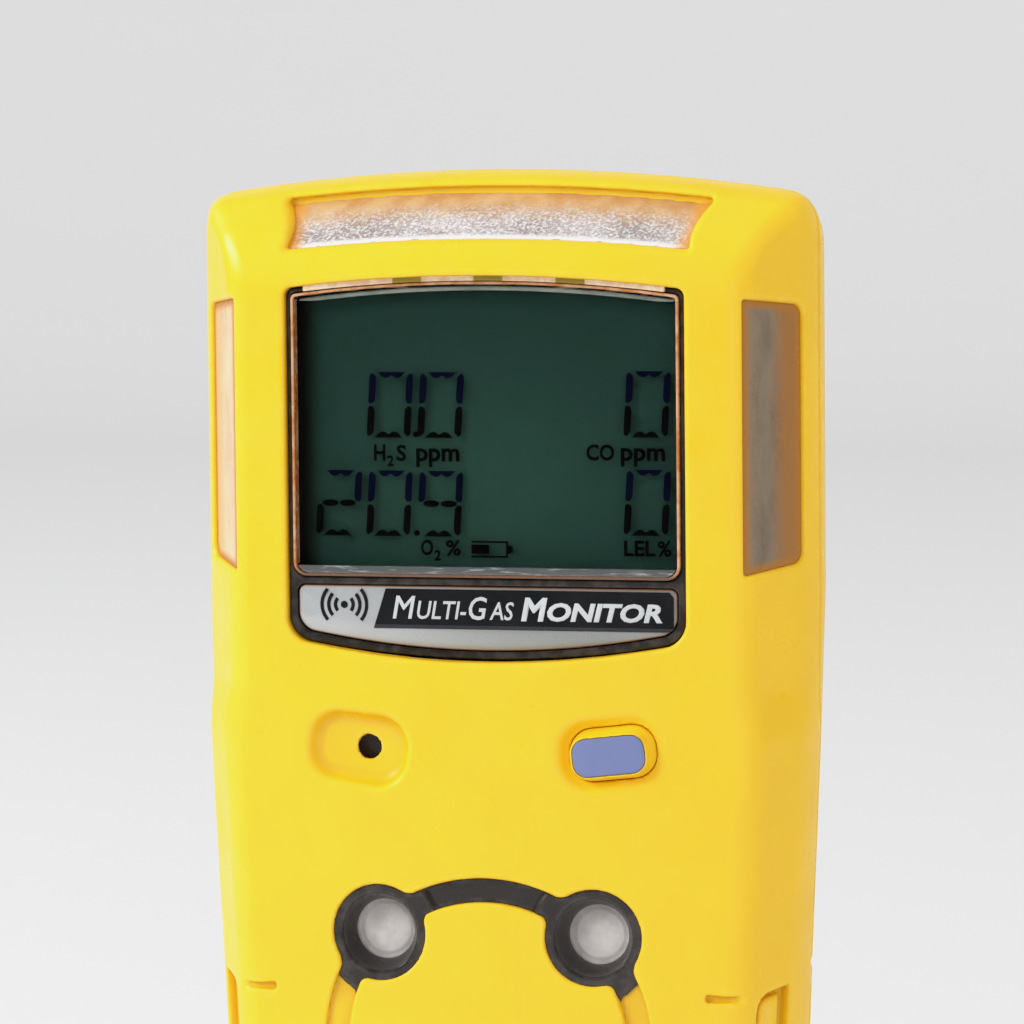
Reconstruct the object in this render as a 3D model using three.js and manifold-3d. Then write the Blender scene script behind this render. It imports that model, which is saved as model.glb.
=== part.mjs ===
// Portable four-gas detector, built as separate pieces in millimetres with +Z up.
// The display faces -Y, +X is to its right, and the origin is the centre of the bounding box's floor.
import * as THREE from "three";
import { mergeVertices } from "three/addons/utils/BufferGeometryUtils.js";
import Module from "manifold-3d";

const wasm = await Module();
wasm.setup();

// ---- Driving dimensions ----
const height = 113;
const width = 60;
const overallDepth = 36; // display face to the back of the clip
const bodyDepth = 27; // both shells, without the clip
const frontShellDepth = 12;
const wall = 2.2;
const seam = 0.05; // half the gap between pieces that touch

// Housing
const shoulderZ = 72; // the sides run straight above this and taper below it
const footHalfWidth = 26.8;
const faceRadius = 130; // the display face bows out from side to side
const crownRadius = 178; // the top edge rises in the middle
const browStart = { depth: 1.2, z: 106.4 }; // where the sloping brow leaves the face
const browEnd = { depth: 9.4, z: 112.4 };
const bayWidth = 17.6; // the recess in the back that holds the clip
const bayBottomZ = 55;
const bayDepth = 2;
const labelWidth = 34;
const labelHeight = 24;
const labelZ = 32;
const slitZ = 36.8; // the short grooves on both sides above the grips
const gripTopZ = 37.6;
const gripBottomZ = 21;
const sideWindowWidth = 7.2; // along the slanted facet
const sideWindowHeight = 25;
const sideWindowZ = 88.4;

// Display
const displayHalfWidth = 18.95;
const displayBottomZ = 67.9;
const displayTopZ = 103.5;
const displayTopBow = 1.2;
const displayBottomBow = 1.9;
const dividerZ = 75; // between the lens above and the name strip below
const lcdWidth = 38;
const lcdHeight = 28.2;
const lcdZ = 88.5;

// Controls
const controlX = 12.15; // the button and the sounder port mirror each other about the centre line
const controlZ = 59.65;
const controlTilt = THREE.MathUtils.degToRad(5.5);
const buttonWidth = 7.9;
const buttonHeight = 4.7;
const plungerLength = 1.6;

// Gas ports
const sensorPitch = 20.4; // between the centres of neighbouring gas ports, across and up
const sensorCentreZ = 32.3;
const sensorRadius = 10;
const sensorHeight = 16.6;
const portRingRadius = 4.5;
const portRadius = 3;
const loopHalfWidth = 1.1;

// Electronics
const boardThickness = 1.6;
const boardScrewPlace = { x: 19.5, z: 64 };
const motorRadius = 3;
const motorZ = 7;
const chargerX = 14.5; // the infrared window beside the charging socket

// Clip
const clipWidth = 14;
const clipSheet = 1.1;
const clipPivotZ = 82;
const clipTopZ = 106.5;
const clipThumbZ = 61;
const clipScrewZ = 69;
const clipPinRadius = 1.2;
const pinPlay = 0.05;

// ---- Planes and places worked out from them ----
const halfWidth = width / 2;
const frontY = -overallDepth / 2;
const clipBackY = overallDepth / 2;
const partingY = frontY + frontShellDepth;
const backY = frontY + bodyDepth;
const bayY = backY - bayDepth;
const portWallY = frontY + 4; // inside face of the wall behind the gas ports and the sounder port
const bezelY = frontY + 1.8;
const lcdY = bezelY + 2.1;
const mainBoardY = frontY + 8;
const mainBoardBackY = mainBoardY + boardThickness;
const keyTopY = frontY + 0.1;
const switchY = mainBoardY - 2.45;
const sensorY = frontY + 4.3;
const sensorBoardY = sensorY + sensorHeight + 0.3;
const socketY = partingY + 6.5;
const clipPlateY = bayY + 2 * seam;
const clipPivotY = backY + 3.2;
const loopRadius = Math.hypot(sensorPitch / 2, sensorPitch / 2);
const ports = {
  top_left: [-sensorPitch / 2, sensorCentreZ + sensorPitch / 2],
  top_right: [sensorPitch / 2, sensorCentreZ + sensorPitch / 2],
  bottom_left: [-sensorPitch / 2, sensorCentreZ - sensorPitch / 2],
  bottom_right: [sensorPitch / 2, sensorCentreZ - sensorPitch / 2],
};
const screwPlaces = {
  top_left: [-23.4, 104],
  top_right: [23.4, 104],
  middle_left: [-25.2, 57],
  middle_right: [25.2, 57],
  bottom_left: [-22.6, 7.5],
  bottom_right: [22.6, 7.5],
};

// ---- Solids from three.js geometry ----
function solidOf(geometry) {
  const bare = geometry.index ? geometry.toNonIndexed() : geometry.clone();
  bare.deleteAttribute("normal");
  bare.deleteAttribute("uv");
  const merged = mergeVertices(bare, 1e-4);
  return new wasm.Manifold(
    new wasm.Mesh({
      numProp: 3,
      vertProperties: new Float32Array(merged.attributes.position.array),
      triVerts: new Uint32Array(merged.index.array),
    }),
  );
}

function geometryOf(solid) {
  const mesh = solid.getMesh();
  const geometry = new THREE.BufferGeometry();
  geometry.setAttribute("position", new THREE.BufferAttribute(mesh.vertProperties, 3));
  geometry.setIndex(new THREE.BufferAttribute(mesh.triVerts, 1));
  geometry.computeVertexNormals();
  return geometry;
}

const joined = (solids) => solids.reduce((all, solid) => all.add(solid));
const without = (solid, cuts) => cuts.reduce((left, cut) => left.subtract(cut), solid);

// ExtrudeGeometry runs along its own +Z, so each prism turns that axis onto the one it is named for.
function extruded(shape, length, options = {}) {
  const settings = { depth: length, bevelEnabled: false, curveSegments: 3, ...options };
  return new THREE.ExtrudeGeometry(shape, settings);
}

// A shape drawn in X and Z, filled from y0 to y1.
function prismY(shape, y0, y1, options) {
  return extruded(shape, y1 - y0, options).rotateX(Math.PI / 2).translate(0, y1, 0);
}

// A solid round bar along a path.
function tube(path, radius, steps) {
  const section = new THREE.Shape();
  section.absarc(0, 0, radius, 0, 2 * Math.PI, false);
  const settings = { steps, curveSegments: 3, extrudePath: path, bevelEnabled: false };
  return solidOf(new THREE.ExtrudeGeometry(section, settings));
}

// A shape drawn in Y and Z, filled from x0 to x1.
function prismX(shape, x0, x1, options) {
  const turn = new THREE.Matrix4().set(0, 0, 1, x0, 1, 0, 0, 0, 0, 1, 0, 0, 0, 0, 0, 1);
  return extruded(shape, x1 - x0, options).applyMatrix4(turn);
}

// A shape drawn in X and Y, filled from z0 to z1.
function prismZ(shape, z0, z1, options) {
  return extruded(shape, z1 - z0, options).translate(0, 0, z0);
}

function box([x0, y0, z0], [x1, y1, z1]) {
  const geometry = new THREE.BoxGeometry(x1 - x0, y1 - y0, z1 - z0);
  return geometry.translate((x0 + x1) / 2, (y0 + y1) / 2, (z0 + z1) / 2);
}

function rodX(radius, x0, x1, y, z, sides = 16) {
  const geometry = new THREE.CylinderGeometry(radius, radius, x1 - x0, sides);
  return geometry.rotateZ(Math.PI / 2).translate((x0 + x1) / 2, y, z);
}

function rodY(radius, y0, y1, x = 0, z = 0, sides = 16) {
  const geometry = new THREE.CylinderGeometry(radius, radius, y1 - y0, sides);
  return geometry.translate(x, (y0 + y1) / 2, z);
}

// A rectangle about (cx, cy) with rounded corners.
function roundedRect(w, h, radius, cx = 0, cy = 0) {
  const shape = new THREE.Shape();
  const right = cx + w / 2 - radius;
  const left = cx - w / 2 + radius;
  const top = cy + h / 2 - radius;
  const bottom = cy - h / 2 + radius;
  shape.absarc(right, top, radius, 0, Math.PI / 2, false);
  shape.absarc(left, top, radius, Math.PI / 2, Math.PI, false);
  shape.absarc(left, bottom, radius, Math.PI, 1.5 * Math.PI, false);
  shape.absarc(right, bottom, radius, 1.5 * Math.PI, 2 * Math.PI, false);
  return shape;
}

// The button and the sounder port lean towards the centre line, each by controlTilt.
function controlPrism(side, w, h, radius, y0, y1) {
  const geometry = prismY(roundedRect(w, h, radius), y0, y1);
  return geometry.rotateY(-side * controlTilt).translate(side * controlX, 0, controlZ);
}

// ---- Body form ----
const span = 35; // reaches past both sides
const footRound = 6;

// Front view. The sides taper below the shoulder, and the top is crowned.
function outline(inset) {
  const side = halfWidth - inset;
  const foot = footHalfWidth - inset;
  const footCorner = footRound - inset;
  const crownEnd = 25.5; // where the crown meets the rounded corners
  const crownEndZ = height - crownEnd ** 2 / (2 * crownRadius) - inset;
  const cornerZ = height - 7.5 - inset;
  const shape = new THREE.Shape();
  shape.moveTo(-foot + footCorner, inset);
  shape.lineTo(foot - footCorner, inset);
  shape.quadraticCurveTo(foot, inset, foot + 0.3, inset + footCorner);
  shape.lineTo(side, shoulderZ);
  shape.lineTo(side, cornerZ);
  shape.quadraticCurveTo(side, crownEndZ, crownEnd - inset, crownEndZ);
  shape.quadraticCurveTo(0, 2 * (height - inset) - crownEndZ, inset - crownEnd, crownEndZ);
  shape.quadraticCurveTo(-side, crownEndZ, -side, cornerZ);
  shape.lineTo(-side, shoulderZ);
  shape.lineTo(-foot - 0.3, inset + footCorner);
  shape.quadraticCurveTo(-foot, inset, -foot + footCorner, inset);
  return shape;
}

// Bends a geometry round the bow of the face and, near the top, round the crown.
function bowed(geometry) {
  const position = geometry.attributes.position;
  for (let i = 0; i < position.count; i++) {
    const squared = position.getX(i) ** 2 / 2;
    const z = position.getZ(i);
    position.setY(i, position.getY(i) + squared / faceRadius);
    if (z > shoulderZ) position.setZ(i, z - squared / crownRadius);
  }
  return geometry;
}

// A block whose inner face is one of the body's slanted side facets, with its front edge at edgeX
// and edgeDepth.
function facetBlock(side, { edgeX, edgeDepth, angle, lean, z0, z1 }, inset) {
  const block = new THREE.BoxGeometry(20, 70, z1 - z0);
  block.translate(side * (10 - inset), 0, (z1 - z0) / 2);
  block.rotateZ(-side * THREE.MathUtils.degToRad(angle));
  block.rotateY(side * lean);
  return block.translate(side * edgeX, frontY + edgeDepth, z0);
}

const taper = (halfWidth - footHalfWidth) / shoulderZ;
const facets = [
  { edgeX: 24.4, edgeDepth: 2.3, angle: 27.4, lean: 0, z0: 62.5, z1: 125 },
  { edgeX: 22.6, edgeDepth: 2.3, angle: 22, lean: Math.atan(taper), z0: -2, z1: 125 },
];

// The front shell's outside, or with an inset the hollow inside it.
function frontForm(inset, deepY) {
  const face = frontY + inset;
  const top = height - inset;
  const browDrop = 0.25 * inset; // keeps the wall even along the slope
  const shape = new THREE.Shape();
  shape.moveTo(face, footRound);
  shape.lineTo(face, browStart.z - 1.2);
  shape.quadraticCurveTo(face, browStart.z - 0.5, face + browStart.depth, browStart.z - browDrop);
  shape.lineTo(face + browEnd.depth, browEnd.z - browDrop);
  shape.quadraticCurveTo(face + browEnd.depth + 0.8, top, face + browEnd.depth + 2, top);
  shape.lineTo(deepY + 8, top);
  shape.lineTo(deepY + 8, inset);
  shape.lineTo(face + footRound - 1, inset);
  shape.quadraticCurveTo(face, inset, face, footRound);
  const profile = bowed(prismX(shape, -span, span, { steps: 16, curveSegments: 4 }));
  const plan = prismY(outline(inset), frontY - 3, deepY, { curveSegments: 6 });
  const blocks = facets.flatMap((facet) => [-1, 1].map((side) => facetBlock(side, facet, inset)));
  return without(solidOf(profile).intersect(solidOf(plan)), blocks.map(solidOf));
}

// The back shell's outside, or with an inset the hollow inside it. Its foot is flat so that it can stand.
function backForm(inset, nearY) {
  const back = backY - inset;
  const side = halfWidth + 0.2 - inset;
  const edgeRound = 8;
  const section = new THREE.Shape();
  section.moveTo(-side, nearY - 1);
  section.lineTo(side, nearY - 1);
  section.lineTo(side - 0.9, back - edgeRound);
  section.quadraticCurveTo(side - 1.6, back, side - edgeRound - 1, back);
  section.lineTo(edgeRound + 1 - side, back);
  section.quadraticCurveTo(1.6 - side, back, 0.9 - side, back - edgeRound);
  const profile = new THREE.Shape();
  profile.moveTo(nearY - 1, inset);
  profile.lineTo(back - footRound + 1, inset);
  profile.quadraticCurveTo(back, inset, back, inset + footRound - 1);
  profile.lineTo(back, height - edgeRound - 2);
  profile.quadraticCurveTo(back, height - inset - 1, back - edgeRound, height - inset);
  profile.lineTo(nearY - 1, height + 1 - inset);
  const plan = solidOf(prismY(outline(inset), nearY, backY + 1, { curveSegments: 6 }));
  const sideways = solidOf(prismX(profile, -span, span));
  return plan.intersect(solidOf(prismZ(section, -1, height + 2))).intersect(sideways);
}

// An outline with rounded corners, whose top and bottom edges may bow outwards.
function bowedPanel(side, bottom, top, bottomBow, topBow, corner = 1.8) {
  const shape = new THREE.Shape();
  const level = (end, z, bow, toX) => {
    if (bow) shape.quadraticCurveTo(0, z + end * 2 * bow, toX, z);
    else shape.lineTo(toX, z);
  };
  shape.moveTo(-side + corner, bottom);
  level(-1, bottom, bottomBow, side - corner);
  shape.quadraticCurveTo(side, bottom, side, bottom + corner);
  shape.lineTo(side, top - corner);
  shape.quadraticCurveTo(side, top, side - corner, top);
  level(1, top, topBow, -side + corner);
  shape.quadraticCurveTo(-side, top, -side, top - corner);
  shape.lineTo(-side, bottom + corner);
  shape.quadraticCurveTo(-side, bottom, -side + corner, bottom);
  return shape;
}

// The display opening holds the lens above the divider and the name strip below it.
const openingBottom = displayBottomZ + displayBottomBow;
const openingTop = displayTopZ - displayTopBow;
const stripTopZ = dividerZ + 0.6;
const lensInset = 0.55;
const stripInset = 0.9;
const windowGap = 0.1;

function displayOutline(inset) {
  const side = displayHalfWidth - inset;
  return bowedPanel(side, openingBottom + inset, openingTop - inset, displayBottomBow, displayTopBow);
}

function lensOutline(inset) {
  const side = displayHalfWidth - inset;
  return bowedPanel(side, dividerZ + inset, openingTop - inset, 0, displayTopBow);
}

function stripOutline(inset) {
  const side = displayHalfWidth - inset;
  return bowedPanel(side, openingBottom + inset, stripTopZ - inset, displayBottomBow, 0, 1);
}

// The top alarm window, a crowned bar on the sloping brow.
function browOutline(inset) {
  const shape = new THREE.Shape();
  const lowEnd = 18.8 - inset;
  const highEnd = 20 - inset;
  shape.moveTo(-lowEnd, 106.3 + inset);
  shape.quadraticCurveTo(0, 107.8 + inset, lowEnd, 106.3 + inset);
  shape.lineTo(highEnd, 110.1 - inset);
  shape.quadraticCurveTo(0, 112.5 - inset, -highEnd, 110.1 - inset);
  return shape;
}

// A prism square to the upper side facet, for a side alarm window and its opening.
function sideWindowPrism(side, inset) {
  const shape = roundedRect(sideWindowWidth - 2 * inset, sideWindowHeight - 2 * inset, 1.1, 0, sideWindowZ);
  const geometry = prismX(shape, -3, 3).translate(0, sideWindowWidth / 2 + 0.3, 0);
  const { edgeX, edgeDepth, angle } = facets[0];
  geometry.rotateZ(-side * THREE.MathUtils.degToRad(angle));
  return geometry.translate(side * edgeX, frontY + edgeDepth, 0);
}

function ringY(outer, inner, y0, y1, x, z, sides = 32) {
  const hole = rodY(inner, y0 - 1, y1 + 1, x, z, sides);
  return solidOf(rodY(outer, y0, y1, x, z, sides)).subtract(solidOf(hole));
}

// ---- Housing ----
const screwPosts = (radius, y0, y1) =>
  Object.values(screwPlaces).map(([x, z]) => rodY(radius, y0, y1, x, z));
const portRods = (radius, y0, y1) => Object.values(ports).map(([x, z]) => rodY(radius, y0, y1, x, z, 22));
const loopRing = (halfBand, y0, y1) =>
  ringY(loopRadius + halfBand, loopRadius - halfBand, y0, y1, 0, sensorCentreZ, 36);

// A box on one side of the body, given by how far out from the centre line it starts and ends.
function sideBox(side, [near, far], [y0, y1], [z0, z1]) {
  const ends = [side * near, side * far].sort((a, b) => a - b);
  return box([ends[0], y0, z0], [ends[1], y1, z1]);
}

function frontShell() {
  const backFace = partingY - seam;
  const padFront = frontY + 1;
  const bosses = [
    ...screwPosts(2.6, frontY + 3, partingY),
    ...portRods(portRingRadius + 1.3, padFront, portWallY),
    controlPrism(-1, buttonWidth + 4.7, buttonHeight + 4.7, 3, padFront, portWallY),
  ];
  const skin = frontForm(0, backFace).subtract(frontForm(wall, partingY + 1));
  const solid = joined([skin, ...bosses.map(solidOf)]).intersect(frontForm(0, backFace));
  const cuts = [
    prismY(displayOutline(0), frontY - 1, partingY),
    prismY(browOutline(0), frontY - 1, frontY + browEnd.depth),
    controlPrism(-1, buttonWidth + 1.5, buttonHeight + 1.5, 2.6, frontY - 1, frontY + 1.9),
    rodY(1.15, frontY, frontY + 8, 0.6 - controlX, controlZ),
    controlPrism(1, buttonWidth + 1.9, buttonHeight + 1.7, 2.8, frontY - 1, frontY + 0.9),
    controlPrism(1, buttonWidth + 0.6, buttonHeight + 0.6, 2.3, frontY - 1, frontY + 6),
    ...portRods(portRingRadius + 0.1, frontY - 1, frontY + 7),
    ...screwPosts(1.35, frontY + 5, partingY + 1),
  ];
  for (const side of [-1, 1]) {
    cuts.push(sideWindowPrism(side, 0));
    cuts.push(sideBox(side, [20.5, 25.4], [frontY, frontY + 2.4], [slitZ - 0.5, slitZ + 0.5]));
    cuts.push(sideBox(side, [26.7, 32], [partingY - 5, partingY + 1], [gripBottomZ, gripTopZ]));
  }
  const groove = loopRing(loopHalfWidth + 0.1, frontY - 1, frontY + 1.5);
  return without(solid, cuts.map(solidOf)).subtract(groove);
}

// A band that follows the body outline between two insets.
function outlineBand(outerInset, innerInset, y0, y1) {
  const outer = solidOf(prismY(outline(outerInset), y0, y1));
  return outer.subtract(solidOf(prismY(outline(innerInset), y0 - 1, y1 + 1)));
}

function backShell() {
  const nearFace = partingY + seam;
  const bayHeight = height - bayBottomZ + 4;
  const bosses = [
    ...screwPosts(3.1, nearFace, backY),
    box([-bayWidth / 2 - 1, bayY - wall, bayBottomZ + 5], [bayWidth / 2 + 1, bayY + 0.2, height - 5]),
    rodY(3.4, bayY - 3.4, bayY, 0, clipScrewZ),
  ];
  const skin = backForm(0, nearFace).subtract(backForm(wall, partingY - 1));
  const solid = joined([skin, ...bosses.map(solidOf)]).intersect(backForm(0, nearFace));
  const cuts = [
    prismY(roundedRect(bayWidth, bayHeight, 3, 0, bayBottomZ + bayHeight / 2), bayY, backY + 1),
    prismY(roundedRect(labelWidth + 0.6, labelHeight + 0.6, 2, 0, labelZ), backY - 0.4, backY + 1),
    rodY(1.3, bayY - 3, bayY + 1, 0, clipScrewZ),
    prismZ(roundedRect(14.6, 6.6, 1.2, 0, socketY), -1, footRound),
    prismZ(roundedRect(5.2, 3.2, 1.5, chargerX, socketY), -1, footRound),
    ...screwPosts(1.5, partingY - 1, backY),
    ...screwPosts(2.4, backY - 4.5, backY + 1),
  ];
  for (const side of [-1, 1]) {
    cuts.push(sideBox(side, [28, 32], [partingY, partingY + 6], [slitZ - 0.5, slitZ + 0.5]));
  }
  return without(solid, cuts.map(solidOf)).subtract(outlineBand(0.65, 1.55, partingY - 1, partingY + 1.4));
}

const shellSeal = () => outlineBand(0.75, 1.45, partingY, partingY + 1.3);
const rearLabel = () => {
  const shape = roundedRect(labelWidth, labelHeight, 1.8, 0, labelZ);
  return solidOf(prismY(shape, backY - 0.35, backY - seam));
};

// A pan-head screw along Y with its head at +Y and a six-lobe socket stood for by a hexagon.
function screw(shankRadius, headRadius, headHeight, length) {
  const head = solidOf(rodY(headRadius, 0, headHeight));
  const shank = solidOf(rodY(shankRadius, -length, 0.01, 0, 0, 20));
  const socket = solidOf(rodY(headRadius * 0.45, headHeight * 0.4, headHeight + 1, 0, 0, 6));
  return head.add(shank).subtract(socket);
}

// The alarm windows follow the shell, a little below its surface.
const windowSkin = () => frontForm(0.4, partingY).subtract(frontForm(1.9, partingY + 1));
const browWindow = () =>
  solidOf(prismY(browOutline(0.15), frontY - 1, frontY + browEnd.depth - 0.2)).intersect(windowSkin());
const sideWindow = (side) => solidOf(sideWindowPrism(side, 0.15)).intersect(windowSkin());

// ---- Display ----
// The black frame that fills the opening, with one window for the lens and one for the name strip.
function displayBezel() {
  const frame = prismY(displayOutline(0.12), bezelY + 0.5, lcdY - 0.1);
  const lensHole = prismY(lensOutline(lensInset - windowGap), bezelY - 1, lcdY + 1);
  const stripHole = prismY(stripOutline(stripInset - windowGap), bezelY - 1, bezelY + 1.8);
  return without(solidOf(frame), [lensHole, stripHole].map(solidOf));
}

const displayLens = () => solidOf(prismY(lensOutline(lensInset), bezelY, bezelY + 1.6));
const nameStrip = () => solidOf(prismY(stripOutline(stripInset), bezelY + 0.3, bezelY + 1.7));
const lcdPanel = () => solidOf(prismY(roundedRect(lcdWidth, lcdHeight, 0.5, 0, lcdZ), lcdY, lcdY + 1.3));
const lcdBacklight = () => {
  const shape = roundedRect(lcdWidth - 0.4, lcdHeight - 2.4, 0.5, 0, lcdZ + 1);
  return solidOf(prismY(shape, lcdY + 1.4, lcdY + 2.7));
};

// The frame that holds the panel and its light to the main board.
function lcdFrame() {
  const rim = roundedRect(lcdWidth + 1.5, lcdHeight + 1.5, 1, 0, lcdZ);
  const hole = roundedRect(lcdWidth + 0.3, lcdHeight + 0.3, 0.6, 0, lcdZ);
  const frame = prismY(rim, lcdY + 0.6, mainBoardY - 0.1);
  const pocket = prismY(hole, lcdY, mainBoardY + 1);
  return solidOf(frame).subtract(solidOf(pocket));
}

// The conductive rubber strip that joins the panel to the main board.
function contactStrip() {
  const bottom = lcdZ - lcdHeight / 2;
  return solidOf(box([-17, lcdY + 1.35, bottom], [17, mainBoardY - seam, bottom + 1.2]));
}

// ---- Controls ----
// The soft key, whose foot sits behind the shell so that it can't fall out.
function buttonKey() {
  const head = controlPrism(1, buttonWidth, buttonHeight, 2.1, keyTopY, frontY + 4);
  const foot = controlPrism(1, buttonWidth + 2.4, buttonHeight + 2.4, 2.4, frontY + 3.7, frontY + 4.5);
  const inlay = controlPrism(1, buttonWidth - 1.4, buttonHeight - 1.3, 1.5, frontY - 1, keyTopY + 0.5);
  return without(solidOf(head).add(solidOf(foot)), [solidOf(inlay)]);
}

const buttonPad = () =>
  solidOf(controlPrism(1, buttonWidth - 1.5, buttonHeight - 1.4, 1.45, keyTopY - 0.05, keyTopY + 0.45));
const switchPlunger = () => solidOf(rodY(1.5, 0, plungerLength));

function switchBody() {
  const can = box([-3, 0, -3], [3, 2.4, 3]);
  return solidOf(can).subtract(solidOf(rodY(1.7, -1, 2)));
}

// ---- Gas ports and sensors ----
// One black rubber moulding: four port rings joined by a thin loop.
function sensorGrille() {
  const outside = frontForm(0.25, partingY);
  const loop = loopRing(loopHalfWidth, frontY - 1, frontY + 1.3);
  const rings = portRods(portRingRadius, frontY - 1, portWallY - 0.5).map(solidOf);
  const bores = portRods(portRadius, frontY - 2, frontY + 6).map(solidOf);
  return without(joined([loop, ...rings]).intersect(outside), bores);
}

const portScreen = () => solidOf(rodY(portRingRadius - 0.3, 0, 0.4, 0, 0, 22));

// An electrochemical or pellistor cell: a can with a gas inlet in its face and pins at its back.
function sensorCell(pinPlaces) {
  const can = solidOf(rodY(sensorRadius, 0, sensorHeight - 2, 0, 0, 28));
  const inlet = solidOf(rodY(2.4, -1, 1.2));
  const pins = pinPlaces.map(([x, z]) => solidOf(rodY(0.6, sensorHeight - 2.5, sensorHeight, x, z, 8)));
  return joined([can, ...pins]).subtract(inlet);
}

// ---- Electronics ----
function mainBoard() {
  const board = prismY(roundedRect(45, 52, 1.5, 0, 80), mainBoardY, mainBoardBackY);
  const upperPosts = ["middle_left", "middle_right", "top_left", "top_right"];
  const clearOf = upperPosts.map((place) => screwPlaces[place]);
  const notches = clearOf.map(([x, z]) => rodY(3.6, mainBoardY - 1, mainBoardBackY + 1, x, z));
  const holes = [-1, 1].map((side) => {
    return rodY(1.2, mainBoardY - 1, mainBoardBackY + 1, side * boardScrewPlace.x, boardScrewPlace.z);
  });
  return without(solidOf(board), [...holes, ...notches].map(solidOf));
}

const sensorBoard = () =>
  solidOf(prismY(roundedRect(43, 45, 2, 0, 34), sensorBoardY, sensorBoardY + boardThickness));
const boardHeader = () =>
  solidOf(box([-9, mainBoardBackY + seam, 54.2], [9, sensorBoardY - seam, 56]));
const batteryPack = () =>
  solidOf(prismY(roundedRect(37, 45, 1.5, 0, 80.5), mainBoardBackY + 1.6, bayY - 3.8));

// Two leads sheathed together, from the pack's lower corner down to the sensor board.
function batteryCable() {
  const path = new THREE.CatmullRomCurve3([
    new THREE.Vector3(20.4, bayY - 7, 60),
    new THREE.Vector3(20.8, bayY - 6, 57.5),
    new THREE.Vector3(17, sensorBoardY - 2, 54.6),
    new THREE.Vector3(13.5, sensorBoardY - 1.2, 54.4),
  ]);
  return tube(path, 0.75, 14);
}

const sounder = () => ringY(5.6, 1, mainBoardY - 2.9, mainBoardY - seam, -controlX, controlZ, 24);
const sounderMesh = () => solidOf(rodY(3, portWallY + seam, portWallY + 0.45, -controlX, controlZ));

// A surface-mounted lamp, facing -Y.
function alarmLed() {
  const base = box([-1.7, 0.4, -1.2], [1.7, 1.8, 1.2]);
  return solidOf(base).add(solidOf(rodY(1, 0, 1)));
}

const motorY = sensorBoardY - motorRadius - 0.3;
function motorCan() {
  const can = solidOf(rodX(motorRadius, -15.4, -7.6, motorY, motorZ, 24));
  return can.subtract(solidOf(rodX(0.7, -16, -13, motorY, motorZ)));
}

// Half of a disc on a thin shaft, so that it shakes the case as it spins.
function motorWeight() {
  const half = new THREE.Shape();
  half.absarc(0, 0, motorRadius - 0.4, Math.PI, 2 * Math.PI, false);
  const weight = prismX(half, -19, -16.2).translate(0, motorY, motorZ);
  const hub = rodX(0.9, -19, -16.2, motorY, motorZ);
  const shaft = rodX(0.4, -19, -13.6, motorY, motorZ);
  return joined([weight, hub, shaft].map(solidOf));
}

// ---- Charging socket ----
function chargingSocket() {
  const block = prismZ(roundedRect(14, 6, 1, 0, socketY), 0.4, 8.6);
  const mouth = prismZ(roundedRect(12.2, 4.2, 0.6, 0, socketY), -1, 6.6);
  return solidOf(block).subtract(solidOf(mouth));
}

const chargingPin = () => solidOf(box([-0.5, -0.35, 1.6], [0.5, 0.35, 6.6 - seam]));
const infraredWindow = () => solidOf(prismZ(roundedRect(4.9, 2.9, 1.4, chargerX, socketY), 0.3, 3.4));

// ---- Clip ----
const clipHalf = clipWidth / 2;
const earOuter = clipHalf - clipSheet - 0.35;
const pinHole = () => rodX(clipPinRadius + pinPlay, -clipHalf - 1, clipHalf + 1, clipPivotY, clipPivotZ);

// The same shape cut from sheet metal on both sides, outer face at the given distance from the centre line.
function sheetPair(shape, outer) {
  return [prismX(shape, -outer, clipSheet - outer), prismX(shape, outer - clipSheet, outer)];
}

// Notches that leave a row of teeth along the end of a jaw.
function toothNotches(centres, y0, y1) {
  return centres.map((x) => box([x - 0.55, y0, clipTopZ - 3], [x + 0.55, y1, clipTopZ + 1]));
}

// The fixed jaw: a plate screwed into the bay, two ears for the pin and a turned-up toothed tip.
function clipBase() {
  const plateHeight = 43;
  const tipRise = 3.4;
  const plateShape = roundedRect(clipWidth - 2, plateHeight, 2, 0, clipTopZ - plateHeight / 2);
  const ear = new THREE.Shape();
  const earRadius = 2.6;
  ear.moveTo(clipPlateY + 0.5, clipPivotZ - earRadius);
  ear.lineTo(clipPivotY, clipPivotZ - earRadius);
  ear.absarc(clipPivotY, clipPivotZ, earRadius, -Math.PI / 2, Math.PI / 2, false);
  ear.lineTo(clipPlateY + 0.5, clipPivotZ + earRadius);
  const members = [
    prismY(plateShape, clipPlateY, clipPlateY + clipSheet),
    box([-5.6, clipPlateY, clipTopZ - 1.6], [5.6, clipPlateY + tipRise, clipTopZ - 0.4]),
    ...sheetPair(ear, earOuter),
  ];
  const cuts = [
    ...toothNotches([-4, -2, 0, 2, 4], clipPlateY + tipRise - 0.8, clipPlateY + tipRise + 1),
    pinHole(),
    rodY(1.6, bayY, backY, 0, clipScrewZ),
  ];
  return without(joined(members.map(solidOf)), cuts.map(solidOf));
}

// The lever's outer face bulges over the pivot, and its thumb end flares out to clipBackY.
function leverShape() {
  const tipY = clipPlateY + 3.9;
  const outerY = clipPivotY + 4.2;
  const innerY = outerY - clipSheet;
  const shape = new THREE.Shape();
  shape.moveTo(tipY, clipTopZ);
  shape.lineTo(tipY + 3, clipTopZ);
  shape.quadraticCurveTo(outerY + 0.2, clipPivotZ + 12, outerY, clipPivotZ);
  shape.quadraticCurveTo(outerY + 0.2, clipPivotZ - 10, clipBackY, clipThumbZ);
  shape.lineTo(clipBackY - clipSheet, clipThumbZ - 0.2);
  shape.quadraticCurveTo(innerY + 0.1, clipPivotZ - 10, innerY, clipPivotZ);
  shape.quadraticCurveTo(innerY + 0.2, clipPivotZ + 12, tipY + 1.6, clipTopZ - 1.4);
  shape.lineTo(tipY, clipTopZ - 1.4);
  return shape;
}

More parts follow.
